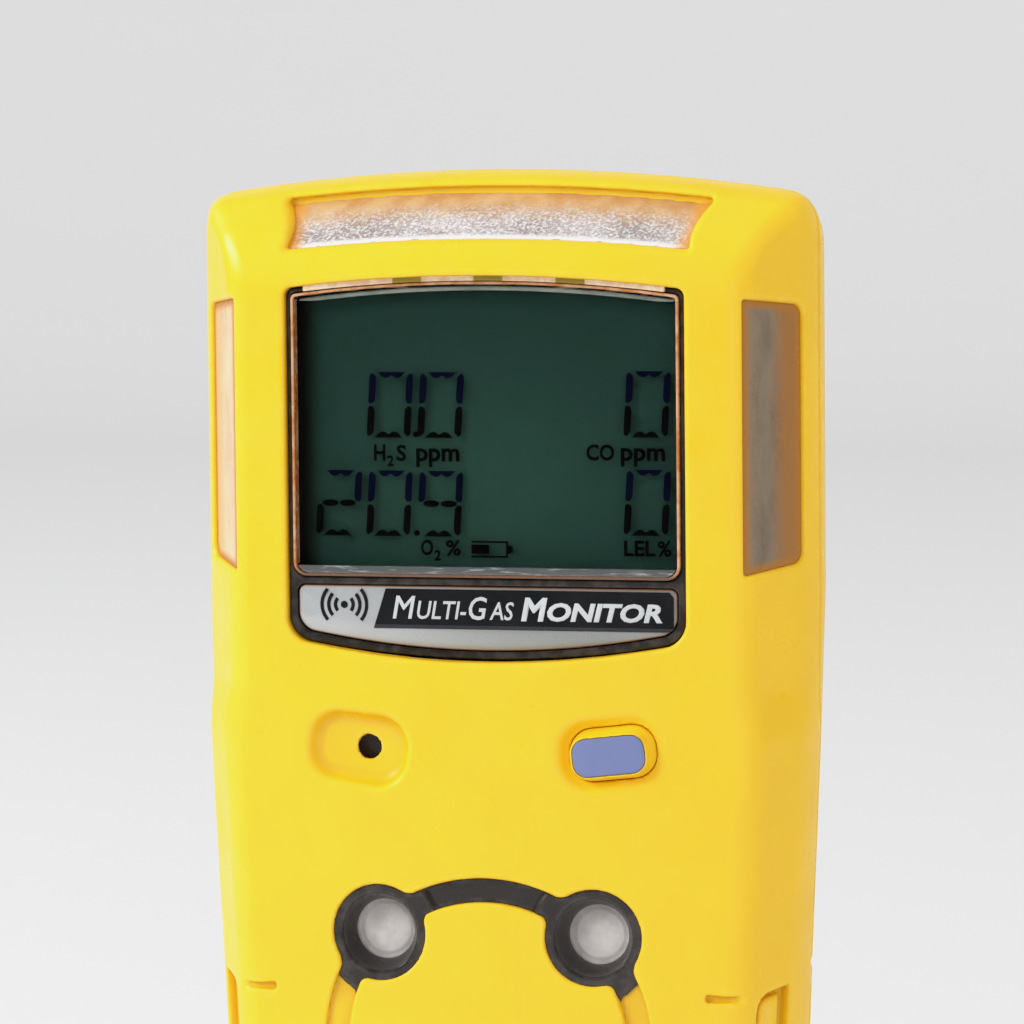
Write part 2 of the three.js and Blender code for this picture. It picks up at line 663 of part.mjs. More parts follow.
// The moving jaw: the lever, with a cheek on each side that the pin passes through.
function clipJaw() {
  const cheek = new THREE.Shape();
  const cheekBack = clipPivotY + 3.6;
  const cheekFront = clipPivotY - 2.2;
  cheek.moveTo(cheekBack, clipPivotZ - 7);
  cheek.lineTo(cheekBack, clipPivotZ + 9);
  cheek.quadraticCurveTo(cheekFront - 0.2, clipPivotZ + 7, cheekFront, clipPivotZ);
  cheek.quadraticCurveTo(cheekFront + 0.6, clipPivotZ - 5, cheekBack, clipPivotZ - 7);
  const lever = prismX(leverShape(), -clipHalf, clipHalf, { curveSegments: 10 });
  const members = [lever, ...sheetPair(cheek, clipHalf)];
  const cuts = [...toothNotches([-5, -3, -1, 1, 3, 5], clipPlateY + 2.9, clipPlateY + 4.9), pinHole()];
  return without(joined(members.map(solidOf)), cuts.map(solidOf));
}

const clipPin = () => {
  const end = clipHalf + 0.7;
  return solidOf(rodX(clipPinRadius, -end, end, clipPivotY, clipPivotZ));
};

// A torsion spring round the pin, with one leg on the fixed plate and one under the thumb end of the lever.
function clipSpring() {
  const coilRadius = clipPinRadius + 0.75;
  const wire = 0.35;
  const turns = 4;
  const pitch = 1.1;
  const legZ = clipPivotZ - 9;
  const reach = (turns * pitch) / 2 + 0.1;
  const points = [new THREE.Vector3(-reach, clipPlateY + clipSheet + wire + 0.15, legZ)];
  for (let i = 0; i <= turns * 12; i++) {
    const turn = i / 12;
    const angle = -Math.PI / 2 - turn * 2 * Math.PI;
    const y = clipPivotY + coilRadius * Math.sin(angle);
    const z = clipPivotZ + coilRadius * Math.cos(angle);
    points.push(new THREE.Vector3((turn - turns / 2) * pitch, y, z));
  }
  points.push(new THREE.Vector3(reach, clipPivotY + 1.2, legZ));
  return tube(new THREE.CatmullRomCurve3(points, false, "centripetal"), wire, 76);
}

// ---- Assembly ----
const finishes = {
  yellow_shell: [0xf4d422, 0.38, 0],
  clear_window: [0xe8dccb, 0.45, 0],
  clear_lens: [0xdfe8e4, 0.08, 0],
  black_rubber: [0x1d1b1a, 0.7, 0],
  black_plastic: [0x161616, 0.4, 0],
  silver_label: [0xc7cbcd, 0.25, 0],
  blue_pad: [0x7f8cc4, 0.6, 0],
  white_membrane: [0xd8d2cd, 0.85, 0],
  lcd_green: [0x2d4a40, 0.2, 0],
  board_green: [0x1d5a33, 0.5, 0],
  cell_grey: [0xb9bcbd, 0.4, 0.2],
  steel: [0xbfc2c5, 0.28, 1],
  gold: [0xd8b45a, 0.3, 1],
  infrared: [0x3a0a12, 0.15, 0],
  led_clear: [0xf2e9dc, 0.2, 0],
};

function part(name, finish, solid, place = [0, 0, 0], turn = [0, 0, 0]) {
  const [color, roughness, metalness] = finishes[finish];
  const material = new THREE.MeshStandardMaterial({ color, roughness, metalness });
  const mesh = new THREE.Mesh(geometryOf(solid), material);
  mesh.name = name;
  mesh.position.set(...place);
  mesh.rotation.set(...turn);
  return mesh;
}

function assembly(...members) {
  const group = new THREE.Group();
  group.add(...members);
  return group;
}

const shellScrews = Object.entries(screwPlaces).map(([place, [x, z]]) =>
  part(`shell_screw_${place}`, "steel", screw(1.25, 2.2, 1.7, 14), [x, backY - 4.4, z]),
);
const boardScrews = [-1, 1].map((side) =>
  part(`board_screw_${side < 0 ? "left" : "right"}`, "steel", screw(1, 1.9, 1.2, 3.2), [
    side * boardScrewPlace.x,
    mainBoardBackY + seam,
    boardScrewPlace.z,
  ]),
);
const housing = assembly(
  part("front_shell", "yellow_shell", frontShell()),
  part("back_shell", "yellow_shell", backShell()),
  part("shell_seal", "black_rubber", shellSeal()),
  part("top_alarm_window", "clear_window", browWindow()),
  part("left_alarm_window", "clear_window", sideWindow(-1)),
  part("right_alarm_window", "clear_window", sideWindow(1)),
  part("rear_label", "silver_label", rearLabel()),
  ...shellScrews,
);
const display = assembly(
  part("display_bezel", "black_plastic", displayBezel()),
  part("display_lens", "clear_lens", displayLens()),
  part("name_strip", "silver_label", nameStrip()),
  part("lcd_panel", "lcd_green", lcdPanel()),
  part("lcd_backlight", "cell_grey", lcdBacklight()),
  part("lcd_frame", "black_plastic", lcdFrame()),
  part("lcd_contact_strip", "black_rubber", contactStrip()),
);
const plungerY = switchY - plungerLength + 0.7;
const controls = assembly(
  part("button_key", "yellow_shell", buttonKey()),
  part("button_pad", "blue_pad", buttonPad()),
  part("switch_plunger", "black_plastic", switchPlunger(), [controlX, plungerY, controlZ]),
  part("switch_body", "black_plastic", switchBody(), [controlX, switchY, controlZ]),
  part("sounder", "black_plastic", sounder()),
  part("sounder_mesh", "black_rubber", sounderMesh()),
);
const cellPins = { three: [[-6, 0], [6, 0], [0, -6]], two: [[-5, 3], [5, 3]] };
const cells = {
  oxygen_sensor: ["top_left", cellPins.two],
  combustible_gas_sensor: ["top_right", cellPins.three],
  hydrogen_sulphide_sensor: ["bottom_left", cellPins.three],
  carbon_monoxide_sensor: ["bottom_right", cellPins.three],
};
const sensing = assembly(
  part("sensor_grille", "black_rubber", sensorGrille()),
  ...Object.entries(ports).map(([place, [x, z]]) =>
    part(`port_screen_${place}`, "white_membrane", portScreen(), [x, portWallY - 0.4, z]),
  ),
  ...Object.entries(cells).map(([name, [place, pins]]) => {
    const [x, z] = ports[place];
    return part(name, "cell_grey", sensorCell(pins), [x, sensorY, z]);
  }),
);
const ledPlaces = {
  top_left: [-9.5, 104.7, 0],
  top_right: [9.5, 104.7, 0],
  left: [-21.1, 88.4, Math.PI / 2],
  right: [21.1, 88.4, Math.PI / 2],
};
const electronics = assembly(
  part("main_board", "board_green", mainBoard()),
  part("sensor_board", "board_green", sensorBoard()),
  part("board_header", "black_plastic", boardHeader()),
  part("battery_pack", "silver_label", batteryPack()),
  part("battery_cable", "black_rubber", batteryCable()),
  part("vibration_motor", "steel", motorCan()),
  part("vibration_weight", "steel", motorWeight()),
  ...Object.entries(ledPlaces).map(([place, [x, z, turn]]) =>
    part(`alarm_led_${place}`, "led_clear", alarmLed(), [x, mainBoardY - 1.85, z], [0, turn, 0]),
  ),
  ...boardScrews,
);
const chargingPins = [-4.5, -1.5, 1.5, 4.5].map((x, i) =>
  part(`charging_pin_${i + 1}`, "gold", chargingPin(), [x, socketY, 0]),
);
const charging = assembly(
  part("charging_socket", "black_plastic", chargingSocket()),
  ...chargingPins,
  part("infrared_window", "infrared", infraredWindow()),
);
const clip = assembly(
  part("clip_base", "steel", clipBase()),
  part("clip_jaw", "steel", clipJaw()),
  part("clip_pin", "steel", clipPin()),
  part("clip_spring", "steel", clipSpring()),
  part("clip_screw", "steel", screw(1.2, 2.6, 1, 2.6), [0, clipPlateY + clipSheet + seam, clipScrewZ]),
);

export default assembly(housing, display, controls, sensing, electronics, charging, clip);
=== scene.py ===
import math

import bmesh
import bpy
import numpy as np
from mathutils import Euler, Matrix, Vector


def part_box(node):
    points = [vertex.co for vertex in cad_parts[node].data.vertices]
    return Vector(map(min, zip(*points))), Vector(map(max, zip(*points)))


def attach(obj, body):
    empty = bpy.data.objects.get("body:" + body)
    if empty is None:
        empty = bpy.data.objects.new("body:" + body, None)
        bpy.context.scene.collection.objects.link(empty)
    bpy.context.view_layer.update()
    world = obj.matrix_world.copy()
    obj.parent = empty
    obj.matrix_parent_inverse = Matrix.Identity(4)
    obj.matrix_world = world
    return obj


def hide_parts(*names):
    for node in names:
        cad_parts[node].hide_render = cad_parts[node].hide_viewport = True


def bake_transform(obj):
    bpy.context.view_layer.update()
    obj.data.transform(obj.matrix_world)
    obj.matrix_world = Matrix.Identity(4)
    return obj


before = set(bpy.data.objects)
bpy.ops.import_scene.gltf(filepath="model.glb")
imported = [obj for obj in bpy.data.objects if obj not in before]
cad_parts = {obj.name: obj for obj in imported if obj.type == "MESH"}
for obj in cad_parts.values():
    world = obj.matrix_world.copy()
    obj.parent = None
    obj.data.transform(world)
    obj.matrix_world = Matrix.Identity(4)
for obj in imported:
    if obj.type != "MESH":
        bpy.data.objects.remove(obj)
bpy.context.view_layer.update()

MM = 0.001


# ---- Places from the frame ----
def low(node):
    return np.array(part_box(node)[0]) / MM


def high(node):
    return np.array(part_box(node)[1]) / MM


def middle(node):
    return (low(node) + high(node)) / 2


FRONT = low("front_shell")[1]
BACK = high("back_shell")[1]
PARTING = (high("front_shell")[1] + low("back_shell")[1]) / 2
TOP = high("front_shell")[2]
HALF_WIDTH = high("back_shell")[0]
WALL = 2.2
SEAM = 0.05
BAY = low("clip_base")[1] - 2 * SEAM
BUTTON_X, _, BUTTON_Z = middle("button_key")
SENSOR_Z = middle("sensor_grille")[2]
PORTS = {
    f"{row}_{side}": middle(f"port_screen_{row}_{side}")[[0, 2]]
    for row in ("top", "bottom") for side in ("left", "right")
}
SCREWS_IN = np.array((0.94, 1, 1))    # draws the screws in, clear of the back shell's sloping sides
SCREWS = {
    f"{row}_{side}": middle(f"shell_screw_{row}_{side}") * SCREWS_IN
    for row in ("top", "middle", "bottom") for side in ("left", "right")
}
PORT_X = PORTS["top_right"][0]
LOOP_RADIUS = math.hypot(PORT_X, PORTS["top_right"][1] - SENSOR_Z)
SOCKET_Y = middle("charging_socket")[1]


# ---- Implicit shapes ----
def both(a, b, radius=0.0):
    """Where two shapes overlap, with the edge between their surfaces rounded."""
    if radius <= 0:
        return np.maximum(a, b)
    corner = np.hypot(np.maximum(radius + a, 0), np.maximum(radius + b, 0))
    return np.minimum(-radius, np.maximum(a, b)) + corner


def either(a, b, radius=0.0):
    """Two shapes joined, with a fillet where they meet."""
    if radius <= 0:
        return np.minimum(a, b)
    corner = np.hypot(np.maximum(radius - a, 0), np.maximum(radius - b, 0))
    return np.maximum(radius, np.minimum(a, b)) - corner


def without(a, b, radius=0.0):
    """The first shape with the second cut out of it, and the cut's edge rounded."""
    return both(a, -b, radius)


def slab(v, start, end):
    return np.maximum(start - v, v - end)


def rounded_rect(u, v, half_u, half_v, radius):
    du = np.abs(u) - half_u + radius
    dv = np.abs(v) - half_v + radius
    return np.hypot(np.maximum(du, 0), np.maximum(dv, 0)) + np.minimum(np.maximum(du, dv), 0) - radius


def turned(u, v, degrees):
    """Coordinates along and across a direction turned anticlockwise from u."""
    c, s = math.cos(math.radians(degrees)), math.sin(math.radians(degrees))
    return c * u + s * v, c * v - s * u


def smooth_step(v, start, end):
    t = np.clip((v - start) / (end - start), 0, 1)
    return t * t * (3 - 2 * t)


def ripple(x, y, z, size, seed=0.0):
    """A cheap even noise from -1 to 1, from three waves that don't line up."""
    k = 2 * math.pi / size
    return (
        np.sin(k * (x + 0.37 * z) + seed + 1.3 * np.sin(k * 0.61 * z + seed))
        + np.sin(k * (0.83 * z - 0.41 * x) + 2.1 * seed + 1.7 * np.sin(k * 0.53 * x + 0.4 * y))
        + np.sin(k * (0.59 * x + 0.71 * z + 0.5 * y) + 0.7 * seed)
    ) / 3


# ---- From implicit shapes to meshes ----
CORNERS = [(i, j, k) for i in (0, 1) for j in (0, 1) for k in (0, 1)]
CELL_EDGES = [(a, b) for a in range(8) for b in range(a + 1, 8)
              if sum(abs(p - q) for p, q in zip(CORNERS[a], CORNERS[b])) == 1]
TETRAHEDRON = np.array([(1, -1, -1), (-1, -1, 1), (-1, 1, -1), (1, 1, 1)], np.float32)
NORMAL_REACH = 0.03    # how far round a point its shape is sampled for the normal
BULGE_REACH = 0.35      # and for how sharply it bulges


def slope(shape, points, reach):
    """The shape's value and gradient at points, from four samples round each."""
    value = np.zeros(len(points), np.float32)
    gradient = np.zeros_like(points)
    for corner in TETRAHEDRON:
        sample = shape(*(points + reach * corner).T)
        value += sample / 4
        gradient += corner * (sample / (4 * reach))[:, None]
    return value, gradient


def surface(shape, lowest, highest, step):
    """The surface of an implicit shape as points and quads, with one point in each grid cell it passes."""
    spans = [(a - 1.5 * step, b + 2.5 * step) for a, b in zip(lowest, highest)]
    axes = [np.arange(start, end, step, dtype=np.float32) for start, end in spans]
    size = [len(a) for a in axes]
    grid = np.meshgrid(*axes, indexing="ij", sparse=True)
    values = np.array(np.broadcast_to(shape(*grid), size), np.float32)
    inside = values < 0
    count = np.zeros([n - 1 for n in size], np.int8)
    for i, j, k in CORNERS:
        count += inside[i:size[0] - 1 + i, j:size[1] - 1 + j, k:size[2] - 1 + k]
    cells = np.argwhere((count > 0) & (count < 8))
    number = np.full(count.shape, -1, np.int32)
    number[tuple(cells.T)] = np.arange(len(cells))
    corner_values = [values[tuple((cells + corner).T)] for corner in CORNERS]
    total = np.zeros((len(cells), 3), np.float32)
    crossings = np.zeros(len(cells), np.float32)
    for a, b in CELL_EDGES:
        va, vb = corner_values[a], corner_values[b]
        crossed = (va < 0) != (vb < 0)
        share = np.where(crossed, va / np.where(crossed, va - vb, 1), 0)[:, None]
        start, end = np.array(CORNERS[a], np.float32), np.array(CORNERS[b], np.float32)
        total += np.where(crossed[:, None], start + share * (end - start), 0)
        crossings += crossed
    origin = np.array([a[0] for a in axes], np.float32)
    points = origin + step * (cells + total / crossings[:, None])
    quads = []
    for axis in range(3):
        second, third = (axis + 1) % 3, (axis + 2) % 3
        near = [slice(0, -1) if d == axis else slice(1, -1) for d in range(3)]
        far = [slice(1, None) if d == axis else slice(1, -1) for d in range(3)]
        outward = inside[tuple(near)]
        edges = np.argwhere(outward != inside[tuple(far)])
        leads_out = outward[tuple(edges.T)]
        edges = edges + [0 if d == axis else 1 for d in range(3)]
        b, c = np.eye(3, dtype=int)[second], np.eye(3, dtype=int)[third]
        ring = np.stack([number[tuple((edges - back).T)] for back in (b + c, c, 0 * b, b)], axis=1)
        quads.append(np.where(leads_out[:, None], ring, ring[:, ::-1]))
    home = points.copy()
    for _ in range(3):
        value, gradient = slope(shape, points, 0.1 * step)
        points = points - gradient * (value / np.maximum((gradient ** 2).sum(1), 0.1))[:, None]
        points = np.clip(points, home - 0.6 * step, home + 0.6 * step)
    return points, np.concatenate(quads)


def mesh_of(name, points, faces):
    """A mesh from points in millimetres and faces that all have the same number of corners."""
    mesh = bpy.data.meshes.new(name)
    count, sides = faces.shape
    mesh.vertices.add(len(points))
    mesh.vertices.foreach_set("co", (np.asarray(points, np.float32) * MM).ravel())
    mesh.loops.add(count * sides)
    mesh.loops.foreach_set("vertex_index", faces.astype(np.int32).ravel())
    mesh.polygons.add(count)
    mesh.polygons.foreach_set("loop_start", np.arange(0, count * sides, sides, dtype=np.int32))
    mesh.update(calc_edges=True)
    mesh.validate()
    return mesh


def points_of(mesh):
    flat = np.zeros(len(mesh.vertices) * 3, np.float32)
    mesh.vertices.foreach_get("co", flat)
    return flat.reshape(-1, 3) / MM


def thinned(mesh, triangles):
    """The mesh with about so many triangles left, most of them where it curves."""
    share = triangles / (2 * len(mesh.polygons))
    if share >= 1:
        return mesh
    holder = bpy.data.objects.new("thinning", mesh)
    bpy.context.scene.collection.objects.link(holder)
    modifier = holder.modifiers.new("thin", "DECIMATE")
    modifier.ratio = share
    result = bpy.data.meshes.new_from_object(holder.evaluated_get(bpy.context.evaluated_depsgraph_get()))
    bpy.data.objects.remove(holder)
    return result


def shaded(mesh, shape, extra=None):
    """Gives a mesh its shape's exact normals, and marks how sharply each point bulges, for worn edges and
    painted crease shade.
    """
    points = points_of(mesh)
    gradient = slope(shape, points, NORMAL_REACH)[1]
    normals = gradient / np.maximum(np.linalg.norm(gradient, axis=1), 1e-6)[:, None]
    corners = np.concatenate([TETRAHEDRON, -TETRAHEDRON])
    bulge = sum(shape(*(points + BULGE_REACH * corner).T) for corner in corners)
    attributes = {"bulge": bulge / (8 * BULGE_REACH), **(extra(*points.T) if extra else {})}
    for name, values in attributes.items():
        mesh.attributes.new(name, "FLOAT", "POINT").data.foreach_set("value", values.astype(np.float32))
    mesh.shade_smooth()
    mesh.normals_split_custom_set_from_vertices(normals)
    return mesh


def placed(name, mesh, materials, body, replaces=(), at=(0, 0, 0)):
    """Shows a mesh as a piece of the object that rides on a body and stands for CAD nodes."""
    piece_object = bpy.data.objects.new(name, mesh)
    bpy.context.scene.collection.objects.link(piece_object)
    piece_object.location = Vector(at) * MM
    for item in materials if not mesh.materials else ():
        mesh.materials.append(item)
    if body:
        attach(piece_object, body)
    if replaces:
        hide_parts(*replaces)
    return piece_object


def piece(name, shape, lowest, highest, step, material, body="case", replaces=(), slot=None, triangles=40000,
          extra=None):
    """A piece of the object, made from an implicit shape."""
    points, quads = surface(shape, lowest, highest, step * (1))
    mesh = shaded(thinned(mesh_of(name, points, quads), triangles), shape, extra)
    return placed(name, mesh, [material], body, replaces)


def around(node, grow=0.0):
    """The corners of a CAD node's box, grown on all sides."""
    return low(node) - grow, high(node) + grow


# ---- Materials ----
class Look:
    """A procedural material, built round one Principled shader. Sizes are in millimetres on the piece."""

    def __init__(self, name, colour, rough=0.4, metal=0.0):
        self.material = bpy.data.materials.new(name)
        self.material.use_nodes = True
        self.material.diffuse_color = (*colour, 1)
        self.tree = self.material.node_tree
        self.shader = self.tree.nodes["Principled BSDF"]
        self.output = self.tree.nodes["Material Output"]
        self.coordinates = self.tree.nodes.new("ShaderNodeTexCoord").outputs["Object"]
        self.set("Metallic", metal)
        self.colour = colour
        self.rough = rough

    def put(self, socket, value):
        if isinstance(value, bpy.types.NodeSocket):
            self.tree.links.new(value, socket)
        else:
            socket.default_value = value

    def set(self, name, value):
        self.put(self.shader.inputs[name], value)
        return self

    def node(self, kind, inputs, **settings):
        made = self.tree.nodes.new(f"ShaderNode{kind}")
        for key, value in settings.items():
            setattr(made, key, value)
        for key, value in inputs.items():
            self.put(made.inputs[key], value)
        return made

    def scaled(self, stretch=(1, 1, 1)):
        """Object coordinates in millimetres, stretched along each axis."""
        scale = [1 / (MM * s) for s in stretch]
        return self.node("Mapping", {"Vector": self.coordinates, "Scale": scale}).outputs[0]

    def noise(self, size, detail=2.0, stretch=(1, 1, 1)):
        inputs = {"Vector": self.scaled(stretch), "Scale": 1 / size, "Detail": detail, "Roughness": 0.6}
        return self.node("TexNoise", inputs).outputs["Fac"]

    def cells(self, size, feature="F1"):
        inputs = {"Vector": self.scaled(), "Scale": 1 / size}
        return self.node("TexVoronoi", inputs, feature=feature).outputs["Distance"]

    def axis(self, name):
        return self.node("SeparateXYZ", {"Vector": self.scaled()}).outputs[name]

    def attribute(self, name):
        return self.node("Attribute", {}, attribute_name=name).outputs["Fac"]

    def ramp(self, value, start, end, low_value=0.0, high_value=1.0):
        limits = {"From Min": start, "From Max": end, "To Min": low_value, "To Max": high_value}
        return self.node("MapRange", {"Value": value, **limits}, interpolation_type="SMOOTHSTEP").outputs[0]

    def patchy(self, size, detail, low_value, high_value):
        """A value that drifts between two others in patches of about a size."""
        return self.ramp(self.noise(size, detail), 0.3, 0.7, low_value, high_value)

    def math(self, operation, a, b=0.0):
        made = self.node("Math", {}, operation=operation)
        self.put(made.inputs[0], a)
        self.put(made.inputs[1], b)
        return made.outputs[0]

    def mix(self, a, b, share):
        made = self.node("Mix", {}, data_type="RGBA")
        for socket, value in ((made.inputs[0], share), (made.inputs[6], a), (made.inputs[7], b)):
            self.put(socket, (*value, 1) if isinstance(value, tuple) and len(value) == 3 else value)
        return made.outputs[2]

    def bump(self, height, distance, strength=1.0):
        inputs = {"Height": height, "Distance": distance * MM, "Strength": strength}
        return self.node("Bump", inputs).outputs[0]

    def spread(self, weight, red, green, blue):
        """Lets light spread under the surface, as far in each colour as a length in millimetres."""
        self.set("Subsurface Weight", weight)
        self.set("Subsurface Radius", (red * MM, green * MM, blue * MM))
        self.set("Subsurface Scale", 1.0)

    def finish(self, colour, rough, normal, others=None):
        """Sets the colour, the roughness, the bumps and any other inputs, and hands over the material."""
        inputs = {"Base Color": colour, "Roughness": rough, "Normal": normal, **(others or {})}
        for name, value in inputs.items():
            self.set(name, value)
        return self.material

    def worn(self, grain, depth, mottle, wear=0.0, wear_colour=None, crease_shade=0.0, rough_swing=0.08):
        """Fine grain, a slow change of colour, rubbed edges and painted shade that darkens the creases."""
        base = self.colour
        pale = tuple(min(1, c * (1 + mottle)) for c in base)
        deep = tuple(c * (1 - mottle) for c in base)
        colour = self.mix(deep, pale, self.ramp(self.noise(9, 3), 0.3, 0.7))
        bulge = self.attribute("bulge")
        scuffs = self.ramp(self.noise(1.4, 4), 0.42, 0.62)
        rubbed = self.math("MULTIPLY", self.ramp(bulge, 0.06, 0.3), scuffs)
        if wear:
            colour = self.mix(colour, wear_colour, self.math("MULTIPLY", rubbed, wear))
        if crease_shade:
            # painted shade: the colour darkens in the creases, where shade falls
            crease = self.ramp(bulge, -0.04, -0.3)
            colour = self.mix(colour, tuple(c * 0.45 for c in base), self.math("MULTIPLY", crease, crease_shade))
        fine = self.noise(grain, 2)
        swing = self.patchy(5, 4, self.rough - rough_swing, self.rough + rough_swing)
        rough = self.math("ADD", swing, self.math("MULTIPLY", rubbed, -0.06))
        return self.finish(colour, rough, self.bump(fine, depth))

    def brushed(self, along):
        """Drawn or brushed metal, its lines running along one axis."""
        lines = self.noise(0.09, 3, along)
        dull = tuple(c * 0.88 for c in self.colour)
        colour = self.mix(dull, self.colour, self.ramp(self.noise(6, 3), 0.35, 0.65))
        rough = self.ramp(lines, 0.3, 0.7, self.rough - 0.08, self.rough + 0.12)
        return self.finish(colour, rough, self.bump(lines, 0.006))


def yellow_plastic():
    look = Look("moulded_yellow_plastic", (0.9, 0.535, 0.013), rough=0.34)
    look.spread(0.05, 0.9, 0.5, 0.08)
    # the creases get painted shade from worn()
    return look.worn(grain=0.16, depth=0.003, mottle=0.02, wear=0.18, wear_colour=(0.93, 0.66, 0.08),
                     crease_shade=0.25)


def black_plastic():
    look = Look("satin_black_plastic", (0.016, 0.014, 0.013), rough=0.38)
    return look.worn(grain=0.2, depth=0.006, mottle=0.12, wear=0.5, wear_colour=(0.07, 0.06, 0.055))


def black_rubber():
    look = Look("soft_black_rubber", (0.024, 0.02, 0.0185), rough=0.3)
    return look.worn(grain=0.3, depth=0.012, mottle=0.2, wear=0.35, wear_colour=(0.09, 0.075, 0.068),
                     rough_swing=0.06)


def button_pad_rubber():
    look = Look("blue_grey_pad", (0.165, 0.2, 0.385), rough=0.62)
    look.set("Specular IOR Level", 0.25)
    return look.worn(grain=0.12, depth=0.006, mottle=0.03)


def frosted_bar():
    """The top light: grey and sparkling below; above and at its ends, a painted reflection of the yellow
    round it.
    """
    look = Look("frosted_light_bar", (0.6, 0.55, 0.53), rough=0.3)
    speckle = look.noise(0.3, 6)
    sparkle = look.ramp(speckle, 0.42, 0.66)
    pale = look.mix((0.44, 0.4, 0.4), (0.8, 0.77, 0.78), sparkle)
    shade = look.ramp(look.noise(5.0, 3, (1, 1, 2)), 0.35, 0.65)
    pale = look.mix(look.mix((0.3, 0.26, 0.25), (0.72, 0.69, 0.7), sparkle), pale, shade)
    # painted reflection: tan and orange of the yellow shell round the bar, over its upper part
    yellow_reflection = look.mix((0.52, 0.27, 0.09), (0.62, 0.38, 0.17), look.patchy(2.5, 3, 0.0, 1.0))
    climb = look.math("ADD", look.attribute("up"), look.math("MULTIPLY", look.noise(0.9, 5), 0.4))
    colour = look.mix(pale, yellow_reflection, look.ramp(climb, 0.45, 1.0))
    # painted highlight: a pale line along the bar's bottom edge
    colour = look.mix((0.85, 0.84, 0.84), colour, look.ramp(look.attribute("up"), 0.02, 0.12))
    # painted reflection: the yellow end walls show as orange at the bar's ends
    ends = look.ramp(look.attribute("ends"), 0.0, 2.2)
    colour = look.mix((0.78, 0.33, 0.03), colour, ends)
    smooth = look.ramp(climb, 0.5, 0.95)
    strength = look.math("SUBTRACT", 1.0, look.math("MULTIPLY", smooth, 0.85))
    look.spread(0.2, 1.2, 0.8, 0.6)
    rough = look.ramp(smooth, 0.0, 1.0, 0.22, 0.45)
    return look.finish(colour, rough, look.bump(speckle, 0.16, strength))


def side_window_plastic(name, front, middling, back_colour):
    """The side lights: smoky translucent plastic that changes colour from its front to its back, with a
    painted reflection of the yellow walls as orange at its rim.
    """
    look = Look(name, (0.2, 0.15, 0.1), rough=0.3)
    grain = look.patchy(0.35, 4, -0.5, 0.5)
    blotch = look.ramp(look.noise(3.0, 3, (1, 1, 2.5)), 0.3, 0.7)
    back = look.math("ADD", look.attribute("back"), grain)
    centre = look.mix(middling, tuple(1.5 * c for c in middling), blotch)
    colour = look.mix(front, centre, look.ramp(back, 0.6, 2.6))
    colour = look.mix(colour, back_colour, look.ramp(back, 3.6, 6.6))
    # painted reflection: the yellow walls round the window show as orange at its rim
    rim = look.ramp(look.attribute("rim"), 0.15, 1.1)
    colour = look.mix((0.42, 0.17, 0.012), colour, rim)
    look.spread(0.15, 1.0, 0.6, 0.3)
    rough = look.ramp(blotch, 0.0, 1.0, 0.26, 0.4)
    return look.finish(colour, rough, look.bump(look.noise(0.3, 4), 0.03, 0.5))


def clear_to_lamps(look):
    """Lets lamps shine straight through, so that what lies behind clear plastic is lit."""
    shadow = look.node("LightPath", {}).outputs["Is Shadow Ray"]
    diffuse = look.node("LightPath", {}).outputs["Is Diffuse Ray"]
    clear = look.node("BsdfTransparent", {"Color": (0.93, 0.95, 0.94, 1)})
    blend = look.node("MixShader", {0: look.math("MAXIMUM", shadow, diffuse)})
    look.tree.links.new(look.shader.outputs[0], blend.inputs[1])
    look.tree.links.new(clear.outputs[0], blend.inputs[2])
    look.tree.links.new(blend.outputs[0], look.output.inputs["Surface"])
    return look.material


def clear_plastic(name, colour, haze, refraction):
    """Clear plastic or glass, its surface a little hazier in patches."""
    look = Look(name, colour)
    look.set("Base Color", (*colour, 1))
    look.set("Roughness", look.patchy(4, 3, 0.01, haze))
    look.set("Transmission Weight", 1.0)
    look.set("IOR", refraction)
    return clear_to_lamps(look)


def lcd_reflector():
    """The display's dull green background, with painted shade darkening its left edge, a painted pool of
    light in its middle, and a faint weave.
    """
    look = Look("display_reflector", (0.016, 0.045, 0.036), rough=0.6)
    # painted light: a soft pool of light in the middle of the display
    light_pool = look.ramp(look.attribute("light_pool"), 0.0, 1.0)
    colour = look.mix((0.0135, 0.036, 0.0305), (0.023, 0.058, 0.044), light_pool)
    colour = look.mix(colour, (0.0135, 0.04, 0.034), look.ramp(look.noise(7, 3), 0.35, 0.65, 0.0, 0.4))
    fleck = look.ramp(look.noise(0.2, 2), 0.35, 0.65, 0.0, 0.16)
    colour = look.mix(colour, (0.03, 0.075, 0.06), fleck)
    # painted shade: near black along the left edge
    colour = look.mix((0.003, 0.0035, 0.0025), colour, look.ramp(look.attribute("left"), 0.0, 2.0))
    rough = look.ramp(fleck, 0.0, 0.16, 0.5, 0.62)
    return look.finish(colour, rough, look.bump(look.noise(0.12, 2), 0.006), {"Specular IOR Level": 0.1})


def lcd_ink(name, colour):
    look = Look(name, colour, rough=0.45)
    look.set("Specular IOR Level", 0.02)
    return look.worn(grain=0.1, depth=0.002, mottle=0.15)


def label_ink(name, colour, rough):
    return Look(name, colour, rough).worn(grain=0.12, depth=0.003, mottle=0.08, rough_swing=0.05)


